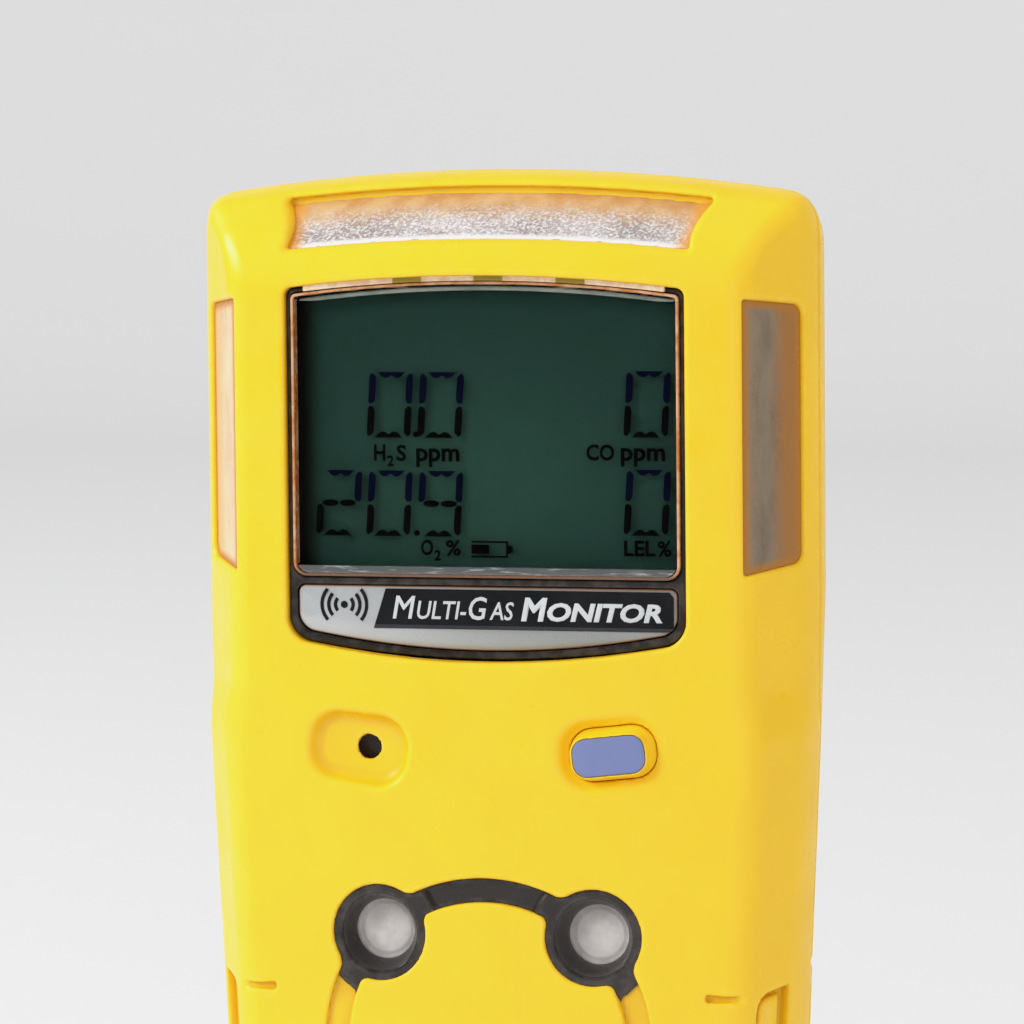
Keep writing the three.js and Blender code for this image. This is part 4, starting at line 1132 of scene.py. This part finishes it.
READINGS = [
    # digits, the first one's left edge, the baseline, where the point stands
    ((0, 0), -11.7, 88.35, -6.95),
    ((0,), 12.75, 88.55, None),
    ((2, 0, 9), -16.7, 79.2, -6.95),
    ((0,), 12.7, 79.5, None),
]
PITCH = 4.85


def readings():
    ink = lcd_ink("display_ink", (0.0012, 0.001, 0.0014))
    blue = lcd_ink("display_ink_blue", (0.001, 0.0016, 0.009))
    black_parts, blue_parts = [], []
    for digits, x, z, point_x in READINGS:
        for i, number in enumerate(digits):
            for part, outlines in digit_outlines(number, x + PITCH * i, z).items():
                upper = part == "top" or part.startswith("upper")
                (blue_parts if upper else black_parts).extend(outlines)
        if point_x is not None:
            black_parts.append(leaf(point_x, z + 0.32, 0.28, 0.28))
    near, far = LCD_Y - 0.05, LCD_Y - 0.01
    prisms("reading_segments_low", black_parts, near, far, [ink])
    prisms("reading_segments_high", blue_parts, near, far, [blue])
    x0, x1, z0, z1, wall = -1.75, 1.75, 77.3, 78.85, 0.18
    frame_bars = [
        [(x0, z1 - wall), (x1, z1 - wall), (x1, z1), (x0, z1)],
        [(x0, z0), (x1, z0), (x1, z0 + wall), (x0, z0 + wall)],
        [(x1 - wall, z0 + wall), (x1, z0 + wall), (x1, z1 - wall), (x1 - wall, z1 - wall)],
        [(x1, z0 + 0.35), (x1 + 0.42, z0 + 0.5), (x1 + 0.42, z1 - 0.5), (x1, z1 - 0.35)],
        [(x0, z0 + 0.35), (x0 + 1.7, z0 + 0.35), (x0 + 1.7, z1 - 0.35), (x0, z1 - 0.35)],
    ]
    prisms("battery_sign", frame_bars, near, far, [ink])
    return ink


def lettering(name, text, width, x, z, y, material, bold=0.0, shear=0.0, height=None):
    """Raised lettering facing the viewer, scaled to a width, its baseline at z."""
    curve = bpy.data.curves.new(name, "FONT")
    curve.body = text
    curve.size = 1.0
    curve.bevel_depth = bold
    curve.bevel_resolution = 1
    curve.shear = shear
    curve.extrude = 0.005
    curve.resolution_u = 3
    holder = bpy.data.objects.new(name + "_curve", curve)
    bpy.context.scene.collection.objects.link(holder)
    mesh = bpy.data.meshes.new_from_object(holder.evaluated_get(bpy.context.evaluated_depsgraph_get()))
    bpy.data.objects.remove(holder)
    points = points_of(mesh) * MM
    lowest, highest = points.min(0), points.max(0)
    scale = width / (highest[0] - lowest[0])
    rise = scale if height is None else height / highest[1]
    turned_points = np.empty_like(points)
    turned_points[:, 0] = x + (points[:, 0] - lowest[0]) * scale
    turned_points[:, 1] = y - points[:, 2]
    turned_points[:, 2] = z + points[:, 1] * rise
    mesh.vertices.foreach_set("co", (turned_points * MM).astype(np.float32).ravel())
    mesh.update()
    return placed(name, mesh, [material], "case")


def captions(ink):
    y = LCD_Y - 0.03
    thick = 0.028
    for name, text, width, x, z, height in (
        ("caption_hydrogen_sulphide", "H", 1.1, -11.0, 86.25, 1.45),
        ("caption_hydrogen_two", "2", 0.66, -9.75, 85.75, 0.95),
        ("caption_sulphur", "S", 0.95, -8.85, 86.25, 1.45),
        ("caption_sulphide_unit", "ppm", 4.15, -6.95, 86.25, 1.15),
        ("caption_carbon_monoxide", "CO", 2.65, 9.25, 86.45, 1.45),
        ("caption_monoxide_unit", "ppm", 4.2, 12.5, 86.45, 1.15),
        ("caption_oxygen", "O", 1.2, -6.6, 77.5, 1.4),
        ("caption_oxygen_two", "2", 0.62, -5.3, 77.0, 0.95),
        ("caption_oxygen_percent", "%", 1.45, -4.2, 77.5, 1.4),
        ("caption_explosive_limit", "LEL", 2.95, 12.75, 77.65, 1.4),
        ("caption_limit_percent", "%", 1.3, 15.9, 77.65, 1.4),
    ):
        lettering(name, text, width, x, z, y, ink, thick, height=height)


def name_strip_print():
    """A slanted black band with a plain description, and a sign that stands for a sensing signal."""
    black = label_ink("strip_black", (0.006, 0.0065, 0.008), 0.22)
    grey = label_ink("strip_grey", (0.03, 0.032, 0.038), 0.25)
    silver = label_ink("strip_letters", (0.5, 0.53, 0.55), 0.3)
    y = low("name_strip")[1] - 0.02
    right = high("name_strip")[0] - 0.3
    top, bottom = high("name_strip")[2] - 0.25, 70.75
    lean = 0.32

    def edge(z):
        return -9.6 + lean * (z - top)

    split = bottom + 0.35
    prisms("strip_band", [[(edge(split), split), (right, split), (right, top - 0.5), (right - 0.4, top),
                           (edge(top), top)]], y, y + 0.03, [black])
    prisms("strip_band_foot", [[(edge(bottom), bottom), (right - 0.5, bottom), (right - 0.1, bottom + 0.2),
                                (right, split), (edge(split), split)]], y, y + 0.03, [grey])
    for name, text, width, x, height, bold in (
        ("strip_wording_m", "M", 2.2, -8.95, 2.1, 0.012),
        ("strip_wording_multi", "ULTI-", 4.7, -6.6, 1.65, 0.012),
        ("strip_wording_g", "G", 1.75, -1.65, 2.1, 0.012),
        ("strip_wording_gas", "AS", 2.35, 0.3, 1.65, 0.012),
        ("strip_wording_m2", "M", 2.55, 3.3, 2.1, 0.04),
        ("strip_wording_monitor", "ONITOR", 10.9, 5.8, 1.65, 0.04),
    ):
        lettering(name, text, width, x, 71.7, y - 0.02, silver, bold, shear=0.2, height=height)
    sign_x, sign_z = -13.6, 72.9

    def arc(radius, angles):
        return [(sign_x + radius * math.cos(t), sign_z + radius * math.sin(t)) for t in angles]

    shapes = [leaf(sign_x, sign_z, 0.34, 0.34)]
    for facing in (0, 180):
        for radius in (0.85, 1.5, 2.15):
            spread = [math.radians(facing - 42 + 84 * k / 14) for k in range(15)]
            shapes.append(arc(radius + 0.16, spread) + arc(radius - 0.16, spread)[::-1])
    prisms("strip_signal_sign", shapes, y - 0.01, y + 0.03, [black])


captions(readings())
name_strip_print()


# ---- Button ----
KEY_TOP = low("button_key")[1] - 0.35
PAD_HALF = (3.4, 1.75)
KEY_SHIFT = (-0.16, -0.14)   # the top face of the key stands a little left of its foot and below it


def on_key(x, z):
    return turned(x - BUTTON_X - KEY_SHIFT[0], z - BUTTON_Z - KEY_SHIFT[1], CONTROL_TILT)


def key(x, y, z):
    """The key: a soft raised top on a skirt that fills the opening."""
    depth = y - KEY_TOP
    share = smooth_step(depth, 0.1, 1.75)
    u, v = on_key(x, z)
    top = rounded_rect(u, v, PAD_HALF[0] + 0.26, PAD_HALF[1] + 0.26, 1.6)
    head = top + (key_outline(x, z, KEY_GAP - 0.04) - top) * share
    head = both(head, slab(depth, 0, 4.5), 0.3)
    foot = both(key_outline(x, z, 1.2), slab(y, FRONT + 3.75, high("button_key")[1]), 0.1)
    inlay = rounded_rect(u, v, PAD_HALF[0] + 0.05, PAD_HALF[1] + 0.05, 1.35)
    return without(np.minimum(head, foot), both(inlay, depth - 0.3), 0.08)


def key_pad(x, y, z):
    outline = rounded_rect(*on_key(x, z), *PAD_HALF, 1.3)
    crown = 0.08 * (1 - np.exp(np.minimum(outline, 0) / 0.5))
    return both(outline, slab(y - KEY_TOP, 0.06 - crown, 0.42), 0.06)


def button_pieces():
    piece("push_key", key, *around("button_key", 0.7), 0.13, yellow, "button", ["button_key"], "yellow_shell",
          triangles=30000)
    piece("push_key_pad", key_pad, *around("button_pad", 0.6), 0.12, button_pad_rubber(), "button",
          ["button_pad"], "button_pad", triangles=12000)


button_pieces()

# ---- Gas ports ----
GRILLE_BACK = high("sensor_grille")[1]
BORE = 2.8


def grille(x, y, z):
    """The rubber moulding: a band lower than the collars round the ports, with a rough edge."""
    rough_edge = 0.1 * ripple(x, 0 * y, z, 0.75) + 0.06 * ripple(z, 0 * y, x, 0.43, 2.0)
    distance = port_distance(x, z)
    level = FRONT + x * x / FACE_BOW + 0.3
    low_band = 0.35 * smooth_step(distance, 5.6, 6.2)
    plan = loop_outline(x, z) - 0.06 + rough_edge
    band = both(plan, slab(y, level + low_band, FRONT + 1.4), 0.12)
    collar = both(distance - PORT_RADIUS - 0.05 + rough_edge, slab(y, level, GRILLE_BACK), 0.15)
    funnel = distance - BORE - 0.85 * smooth_step(-(y - level), -2.6, 0.2)
    return without(np.minimum(band, collar), both(funnel, y - GRILLE_BACK - 1), 0.25)


def screens():
    look = membrane()
    for corner, (px, pz) in PORTS.items():
        node = f"port_screen_{corner}"
        front, back = low(node)[1], high(node)[1]
        radius = (high(node)[0] - low(node)[0]) / 2

        def disc(x, y, z, px=px, pz=pz, front=front, back=back, radius=radius):
            distance = np.hypot(x - px, z - pz)
            pressed_rim = smooth_step(distance, BORE - 0.6, BORE - 0.2)
            dome = 0.12 * (1 - (distance / radius) ** 2 - pressed_rim)
            return both(distance - radius, slab(y, front + 0.13 - dome, back), 0.06)

        lowest, highest = around(node, 0.3)
        piece(f"gas_membrane_{corner}", disc, lowest, highest, 0.2, look, replaces=[node], slot="port_screen",
              triangles=9000)


piece("gas_port_loop", grille, *around("sensor_grille", 0.4), 0.15, rubber, replaces=["sensor_grille"],
      slot="black_rubber", triangles=120000)
screens()


# ---- Seal, label and screws ----
def case_seal(x, y, z):
    """The soft cord that lies in the back shell's groove."""
    form = case_form(x, y, z)
    return both(slab(form, -SEAL["inner"], -SEAL["outer"]), slab(y - PARTING, 0.1, 1.2), 0.3)


def label_sheet(x, y, z):
    plan = rounded_rect(x, z - LABEL_Z, LABEL_HALF[0] - 0.3, LABEL_HALF[1] - 0.3, 1.8)
    return both(plan, slab(y, low("rear_label")[1], BACK - 0.1), 0.08)


HEAD = {"radius": 2.1, "height": 1.6, "socket": 0.9}
SCREW_TOP = BACK - SCREW_SEAT["pocket_depth"] + HEAD["height"]
THREAD = {"radius": 1.12, "depth": 0.2, "pitch": 0.75}


def machine_screw(head, thread, length):
    """A threaded pan-head screw along -Y, with a six-lobe socket. The origin is the top of its head."""
    def shape(x, y, z):
        radius = np.hypot(x, z)
        turn = np.arctan2(z, x)
        dome = head["radius"] * 1.9
        cap = np.sqrt(radius ** 2 + (y + dome) ** 2) - dome
        pan = both(both(radius - head["radius"], slab(y, -head["height"], 0), 0.12), cap, 0.3)
        lobes = radius - head["socket"] - 0.16 * np.cos(6 * turn)
        pan = without(pan, both(lobes, -y - 0.95), 0.06)
        ridge = np.abs(((y / thread["pitch"] + turn / (2 * math.pi)) % 1) - 0.5) * 2
        shank = radius - thread["radius"] + thread["depth"] * ridge
        point = radius - 0.3 - 0.6 * (y + head["height"] + length)
        return np.minimum(pan, both(both(shank, y + head["height"] - 0.2), point))
    return shape


def screw_mesh(name, head, thread, length, step=0.1):
    shape = machine_screw(head, thread, length)
    reach = head["radius"] + 0.2
    tip = -head["height"] - length - 0.6
    points, quads = surface(shape, (-reach, tip, -reach), (reach, 0.2, reach), step)
    mesh = shaded(thinned(mesh_of(name, points, quads), 12000), shape)
    mesh.materials.append(plated_steel(f"{name}_steel", (1, 1, 1)))
    return mesh


def shell_screws():
    mesh = screw_mesh("shell_screw_mesh", HEAD, THREAD, 13.0)
    for place, (x, _, z) in SCREWS.items():
        node = f"shell_screw_{place}"
        placed(f"case_screw_{place}", mesh, [], "case", [node], at=(x, SCREW_TOP, z))


def seal_and_label():
    piece("case_seal", case_seal, (-30, PARTING, 0), (30, PARTING + SEAL["groove"], TOP), 0.3, rubber,
          replaces=["shell_seal"], slot="black_rubber", triangles=30000)
    piece("rear_label_sheet", label_sheet, *around("rear_label", 0.4), 0.22, label_paper(),
          replaces=["rear_label"], slot="rear_label", triangles=8000)


seal_and_label()
shell_screws()


# ---- Charging socket and infrared window ----
def socket_block(x, y, z):
    block = both(rounded_rect(x, y - SOCKET_Y, 7.0, 3.0, 1.0), slab(z, 0.4, 8.6), 0.3)
    mouth = both(rounded_rect(x, y - SOCKET_Y, 6.1, 2.1, 0.6), z - 6.6)
    rail = both(np.hypot(x, y - SOCKET_Y - 2.1) - 0.5, slab(z, 0.9, 6.7))
    return np.minimum(without(block, mouth, 0.2), rail)


def contact_pin(x, y, z):
    """A flat contact with a rounded, slightly crowned tip."""
    body = both(rounded_rect(x, y, 0.5, 0.35, 0.12), slab(z, 1.6, 6.55))
    return both(body, np.hypot(x * 0.7, z - 2.5) - 0.9 - 0.5 * np.maximum(z - 2.5, 0), 0.15)


def infrared_dome(x, y, z):
    window_x = middle("infrared_window")[0]
    plan = rounded_rect(x - window_x, y - SOCKET_Y, 2.45, 1.45, 1.4)
    return both(plan, slab(z - 0.12 * np.exp(-(x - window_x) ** 2 / 4), 0.2, 3.4), 0.25)


def charging_pieces():
    piece("charger_socket", socket_block, *around("charging_socket", 0.4), 0.2, satin_black,
          replaces=["charging_socket"], slot="black_plastic", triangles=16000)
    piece("infrared_lens", infrared_dome, *around("infrared_window", 0.4), 0.15, infrared_resin(),
          replaces=["infrared_window"], slot="infrared_window", triangles=8000)
    points, quads = surface(contact_pin, (-0.6, -0.5, 1.4), (0.6, 0.5, 6.7), 0.09)
    mesh = shaded(thinned(mesh_of("contact_pin", points, quads), 3000), contact_pin)
    mesh.materials.append(gold_plate())
    for number in range(1, 5):
        x, y, _ = middle(f"charging_pin_{number}")
        node = f"charging_pin_{number}"
        placed(f"charger_contact_{number}", mesh, [], "case", [node], at=(x, y, 0))


charging_pieces()

# ---- Clip ----
SHEET = 1.1
PLATE_Y = low("clip_base")[1]
PIVOT_Y, PIVOT_Z = middle("clip_pin")[1:]
CLIP_TOP = high("clip_jaw")[2]
THUMB_Z = low("clip_jaw")[2] + 0.2
CLIP_BACK = high("clip_jaw")[1]
CLIP_HALF = high("clip_jaw")[0]
TIP_Y = PLATE_Y + 3.9
CREST_Y = PIVOT_Y + 4.2
EAR = CLIP_HALF - SHEET - 0.35
PIN_HOLE = 1.27
PLATE_HALF = 21.5
CLIP_SCREW_Z = middle("clip_screw")[2]


def bent(t, start, pull, end):
    """A height that bends from start to end as t goes from 0 to 1, drawn towards pull on the way."""
    return (1 - t) ** 2 * start + 2 * t * (1 - t) * pull + t * t * end


def lever_back(z):
    """The lever's outer face: proudest over the pivot, in at the tip, and flared out at the thumb end."""
    rise = np.clip((z - PIVOT_Z) / (CLIP_TOP - PIVOT_Z), 0, 1.1)
    fall = np.clip((PIVOT_Z - z) / (PIVOT_Z - THUMB_Z), 0, 1.1)
    up = bent(rise, CREST_Y, CREST_Y + 0.2, TIP_Y + 3)
    down = bent(fall, CREST_Y, CREST_Y + 0.2, CLIP_BACK)
    return np.where(z > PIVOT_Z, up, down)


def cheek_front(z):
    """Where the cheeks' front edge runs; beyond the cheeks it is behind everything."""
    back, front = PIVOT_Y + 3.6, PIVOT_Y - 2.2
    rise, fall = (z - PIVOT_Z) / 9, (PIVOT_Z - z) / 7
    up = bent(np.clip(rise, 0, 1), front, front - 0.2, back)
    down = bent(np.clip(fall, 0, 1), front, front + 0.6, back)
    beyond = 4 * np.maximum(np.maximum(rise, fall) - 1, 0)
    return np.where(z > PIVOT_Z, up, down) + beyond


def teeth(x, shift):
    """A row of V-shaped teeth, from 0 at their roots to 1 at their tips, two millimetres apart."""
    return 1 - 2 * np.abs((x / 2 + shift) % 1 - 0.5)


def clip_lever(x, y, z):
    ax = np.abs(x)
    back = lever_back(z)
    outside = both(ax - CLIP_HALF, y - back, 1.5)
    inside = both(ax - CLIP_HALF + SHEET, y - back + SHEET, 0.6)
    channel = without(outside, inside)
    channel = both(channel, np.minimum(cheek_front(z) - y, back - SHEET - y), 0.1)
    flange = both(slab(z, CLIP_TOP - 1.4, CLIP_TOP), both(ax - CLIP_HALF, y - back))
    flange = both(flange, TIP_Y + 0.75 * teeth(x, 0.5) - y)
    sheet = either(channel, flange, 0.7)
    plan = rounded_rect(x, z - (CLIP_TOP + THUMB_Z) / 2, CLIP_HALF, (CLIP_TOP - THUMB_Z) / 2 + 0.1, 2.2)
    sheet = both(sheet, np.where(z < PIVOT_Z, plan, z - CLIP_TOP), 0.25)
    for rib_z in (65.0, 67.6, 70.2):
        rib = both(np.hypot(y - lever_back(z) + 0.1, z - rib_z) - 0.6, ax - 4.6, 0.5)
        sheet = either(sheet, rib, 0.35)
    dish = np.sqrt((x / 3.4) ** 2 + ((z - 92.5) / 7.5) ** 2)
    sheet = sheet + 0.35 * (1 - smooth_step(dish, 0.6, 1.0)) * (y > back - 0.5)
    return without(sheet, np.hypot(y - PIVOT_Y, z - PIVOT_Z) - PIN_HOLE, 0.08)


def clip_plate(x, y, z):
    ax = np.abs(x)
    plan = rounded_rect(x, z - CLIP_TOP + PLATE_HALF, CLIP_HALF - 1, PLATE_HALF, 2)
    plate = both(plan, slab(y, PLATE_Y, PLATE_Y + SHEET), 0.2)
    rib = np.hypot(np.maximum(np.abs(z - 95) - 5, 0), np.hypot(x, y - PLATE_Y - 0.55)) - 1.2
    plate = either(plate, both(rib, PLATE_Y - y), 0.5)
    tip_y = PLATE_Y + 3.4 - 0.75 * teeth(x, 0.0)
    tip = both(both(ax - 5.6, slab(z, CLIP_TOP - 1.6, CLIP_TOP - 0.4)), slab(y, PLATE_Y, tip_y), 0.12)
    round_end = np.where(y < PIVOT_Y, np.abs(z - PIVOT_Z), np.hypot(y - PIVOT_Y, z - PIVOT_Z)) - 2.6
    ears = both(slab(ax, EAR - SHEET, EAR), both(round_end, PLATE_Y - y), 0.12)
    solid = either(either(plate, tip, 0.6), ears, 0.4)
    pin_hole = np.hypot(y - PIVOT_Y, z - PIVOT_Z) - PIN_HOLE
    screw_hole = both(np.hypot(x, z - CLIP_SCREW_Z) - 1.6, y - BACK)
    return without(solid, np.minimum(pin_hole, screw_hole), 0.1)


def hinge_pin(x, y, z):
    """A plain rod with a domed rivet head at each end."""
    radius = np.hypot(y - PIVOT_Y, z - PIVOT_Z)
    ends = both(radius - 1.9, np.sqrt(radius ** 2 + (np.abs(x) - 4.9) ** 2) - 2.8, 0.1)
    heads = both(ends, CLIP_HALF + 0.05 - np.abs(x), 0.1)
    return np.minimum(both(radius - 1.2, np.abs(x) - CLIP_HALF - 0.5), heads)


def wire(name, path, radius, sides=12):
    """A round wire along a path of points."""
    path = np.array(path)
    along = np.gradient(path, axis=0)
    along /= np.linalg.norm(along, axis=1)[:, None]
    side = np.cross(along[0], (0, 0, 1.0))
    rings = []
    for place, direction in zip(path, along):
        side = side - direction * (side @ direction)
        side /= np.linalg.norm(side)
        up = np.cross(direction, side)
        rings += [place + radius * (math.cos(a) * side + math.sin(a) * up)
                  for a in np.arange(sides) * 2 * math.pi / sides]
    count = len(path)
    around_ring = [(k, (k + 1) % sides) for k in range(sides)]
    faces = [(i * sides + k, i * sides + after, (i + 1) * sides + after, (i + 1) * sides + k)
             for i in range(count - 1) for k, after in around_ring]
    for end, order in ((0, 1), (count - 1, -1)):
        hub = len(rings)
        rings.append(path[end] + (0.3 * radius) * along[end] * (-order))
        for k in range(0, sides, 2):
            ring = [end * sides + (k + j) % sides for j in range(3)]
            faces.append((hub, *ring[::-1 * order]))
    mesh = mesh_of(name, rings, np.array(faces))
    mesh.shade_smooth()
    mesh.attributes.new("bulge", "FLOAT", "POINT")
    return mesh


def clip_spring():
    """A torsion spring round the pin: one leg on the plate, the other under the lever's thumb end."""
    coil, gauge, turns, pitch = 1.95, 0.35, 4, 1.1
    reach = turns * pitch / 2 + 0.1
    leg_z = PIVOT_Z - 9
    path = [(-reach, PLATE_Y + SHEET + gauge + 0.15 + (coil - 1.9) * t, leg_z + (PIVOT_Z - leg_z - 0.6) * t)
            for t in np.linspace(0, 0.92, 9)]
    for i in range(turns * 24 + 1):
        angle = -math.pi / 2 - i / 24 * 2 * math.pi
        along = (i / 24 - turns / 2) * pitch
        path.append((along, PIVOT_Y + coil * math.sin(angle), PIVOT_Z + coil * math.cos(angle)))
    start = path[-1]
    path += [(reach, start[1] + (PIVOT_Y + 1.2 - start[1]) * t, start[2] + (leg_z - start[2]) * t)
             for t in np.linspace(0.08, 1, 9)]
    mesh = wire("clip_coil_spring", path, gauge)
    material = plated_steel("spring_wire", (1, 1, 1))
    spring = placed("clip_coil_spring", mesh, [material], None, ["clip_spring"])
    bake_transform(spring)


def clip_pieces():
    brushed = plated_steel("clip_sheet_steel", (1, 1, 9))
    piece("clip_fixed_plate", clip_plate, *around("clip_base", 0.4), 0.2, brushed, replaces=["clip_base"],
          slot="steel", triangles=60000)
    piece("clip_lever_sheet", clip_lever, *around("clip_jaw", 0.6), 0.2, brushed, "clip_lever", ["clip_jaw"],
          "steel", triangles=80000)
    piece("clip_hinge_pin", hinge_pin, *around("clip_pin", 0.8), 0.15, steel, replaces=["clip_pin"],
          slot="steel", triangles=8000)
    head = {"radius": 2.6, "height": 1.0, "socket": 1.0}
    mesh = screw_mesh("clip_screw_mesh", head, {"radius": 1.2, "depth": 0.2, "pitch": 0.7}, 3.4)
    placed("clip_fixing_screw", mesh, [], "case", ["clip_screw"],
           at=(0, PLATE_Y + SHEET + SEAM + head["height"], CLIP_SCREW_Z))
    clip_spring()


clip_pieces()


# ---- Inside the case ----
def finished(nodes, material, edge=0.15):
    """Gives CAD nodes a procedural material and softly rounded edges."""
    for name in nodes:
        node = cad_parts[name]
        node.data.materials.clear()
        node.data.materials.append(material)
        if edge:
            bevel = node.modifiers.new("edges", "BEVEL")
            bevel.width = edge * MM
            bevel.segments = 2
            bevel.limit_method = "ANGLE"
            bevel.angle_limit = math.radians(35)


def inside_pieces():
    finished(["lcd_backlight"], white_guide())
    finished(["lcd_frame", "switch_body", "switch_plunger", "sounder", "board_header"], satin_black, 0.1)
    finished(["lcd_contact_strip", "sounder_mesh", "battery_cable"], rubber, 0.0)
    gases = "oxygen", "combustible_gas", "hydrogen_sulphide", "carbon_monoxide"
    finished([f"{gas}_sensor" for gas in gases], cell_plastic(), 0.3)
    finished(["main_board", "sensor_board"], circuit_board(), 0.0)
    finished(["battery_pack"], battery_wrap(), 0.8)
    finished(["vibration_motor", "vibration_weight", "board_screw_left", "board_screw_right"], steel, 0.1)
    places = "top_left", "top_right", "left", "right"
    finished([f"alarm_led_{place}" for place in places], lamp_resin())


inside_pieces()


# ---- Floor, light and camera ----
def studio_floor():
    """A pale floor that curves up into a backdrop behind the object."""
    near, far, bend, height = -0.42, 1.15, 0.55, 1.6
    profile = [(near, 0.0), (far, 0.0)]
    angles = np.linspace(0.1, math.pi / 2, 15)
    profile += [(far + bend * math.sin(a), bend - bend * math.cos(a)) for a in angles]
    profile += [(far + bend, height)]
    points = [(x / MM, y / MM, z / MM - 0.05) for x in (-2.2, 2.2) for y, z in profile]
    count = len(profile)
    faces = np.array([(i, i + 1, count + i + 1, count + i) for i in range(count - 1)])
    mesh = mesh_of("studio_floor", points, faces)
    mesh.shade_smooth()
    floor = bpy.data.objects.new("studio_floor", mesh)
    bpy.context.scene.collection.objects.link(floor)
    look = Look("floor_paper", (0.72, 0.72, 0.725), rough=0.9)
    look.set("Base Color", look.mix((0.716, 0.716, 0.718), (0.724, 0.724, 0.726), look.noise(40, 3)))
    look.set("Specular IOR Level", 0.1)
    mesh.materials.append(look.material)


def soft_box(name, place, width, height, watts, mirrored=True, colour=(1, 1, 1)):
    """A square lamp aimed at the middle of the object. It shows in glossy surfaces only if it is mirrored."""
    lamp = bpy.data.lights.new(name, "AREA")
    lamp.shape = "RECTANGLE"
    lamp.size, lamp.size_y = width, height
    lamp.energy = watts
    lamp.color = colour
    holder = bpy.data.objects.new(name, lamp)
    bpy.context.scene.collection.objects.link(holder)
    holder.location = place
    holder.rotation_euler = (Vector((0, 0, 0.07)) - Vector(place)).to_track_quat("-Z", "Y").to_euler()
    holder.visible_glossy = mirrored


def studio_world():
    """Even pale light on everything, but a dim room in what glossy surfaces mirror."""
    world = bpy.data.worlds.new("studio")
    world.use_nodes = True
    bpy.context.scene.world = world
    tree = world.node_tree
    background = tree.nodes["Background"]
    ray = tree.nodes.new("ShaderNodeLightPath")
    level = tree.nodes.new("ShaderNodeMapRange")
    tree.links.new(ray.outputs["Is Glossy Ray"], level.inputs["Value"])
    level.inputs["To Min"].default_value = 1.0
    level.inputs["To Max"].default_value = 0.06
    tree.links.new(level.outputs[0], background.inputs["Strength"])
    background.inputs["Color"].default_value = (1, 1, 1, 1)


CAMERA = {
    "yaw": 14.57, "pitch": 4.04, "roll": 0.55,    # degrees
    "distance": 0.544,                            # metres from the face
    "lens": 208.5,
    "right": 2.98, "down": 6.92,                  # how far the aim lies off the face's middle
}


def camera():
    """Looks at the face from a little to its right and a little above, with the foot out of the picture."""
    yaw, pitch = math.radians(CAMERA["yaw"]), math.radians(CAMERA["pitch"])
    away = Vector((math.sin(yaw) * math.cos(pitch), -math.cos(yaw) * math.cos(pitch), math.sin(pitch)))
    target = Vector((0, FRONT, TOP - 24.25)) * MM
    place = target + away * CAMERA["distance"]
    right = Vector((math.cos(yaw), math.sin(yaw), 0))
    up = away.cross(right)
    aim = target + (right * CAMERA["right"] - up * CAMERA["down"]) * MM
    lens_data = bpy.data.cameras.new("camera")
    lens_data.lens = CAMERA["lens"]
    lens_data.clip_start, lens_data.clip_end = 0.01, 20
    holder = bpy.data.objects.new("camera", lens_data)
    bpy.context.scene.collection.objects.link(holder)
    turn = (aim - place).to_track_quat("-Z", "Y")
    holder.rotation_mode = "QUATERNION"
    holder.rotation_quaternion = turn @ Euler((0, 0, math.radians(-CAMERA["roll"]))).to_quaternion()
    holder.location = place
    bpy.context.scene.camera = holder


def soft_highlights():
    """Rolls the brightest tones off gently, as a camera does."""
    view = bpy.context.scene.view_settings
    view.view_transform = "Standard"
    view.use_curve_mapping = True
    mapping = view.curve_mapping
    mapping.use_clip = False
    curve = mapping.curves[3]
    for point, (seen, shown) in zip(curve.points, ((0, 0), (4, 1))):
        point.location = (seen, shown)
    for seen, shown in ((0.35, 0.35), (0.7, 0.7), (0.9, 0.855), (1.05, 0.92), (1.3, 0.955), (2.0, 0.98)):
        curve.points.new(seen, shown)
    mapping.update()


studio_floor()
studio_world()
soft_box("key_light", (-0.62, -0.75, 0.62), 0.4, 0.4, 5.0, mirrored=False)
soft_box("side_light", (-0.83, -0.1, 0.55), 0.5, 0.22, 3.4)
soft_box("right_card", (0.5, -0.72, 0.1), 0.34, 0.5, 0.45, colour=(1, 0.9, 0.82))
camera()
soft_highlights()
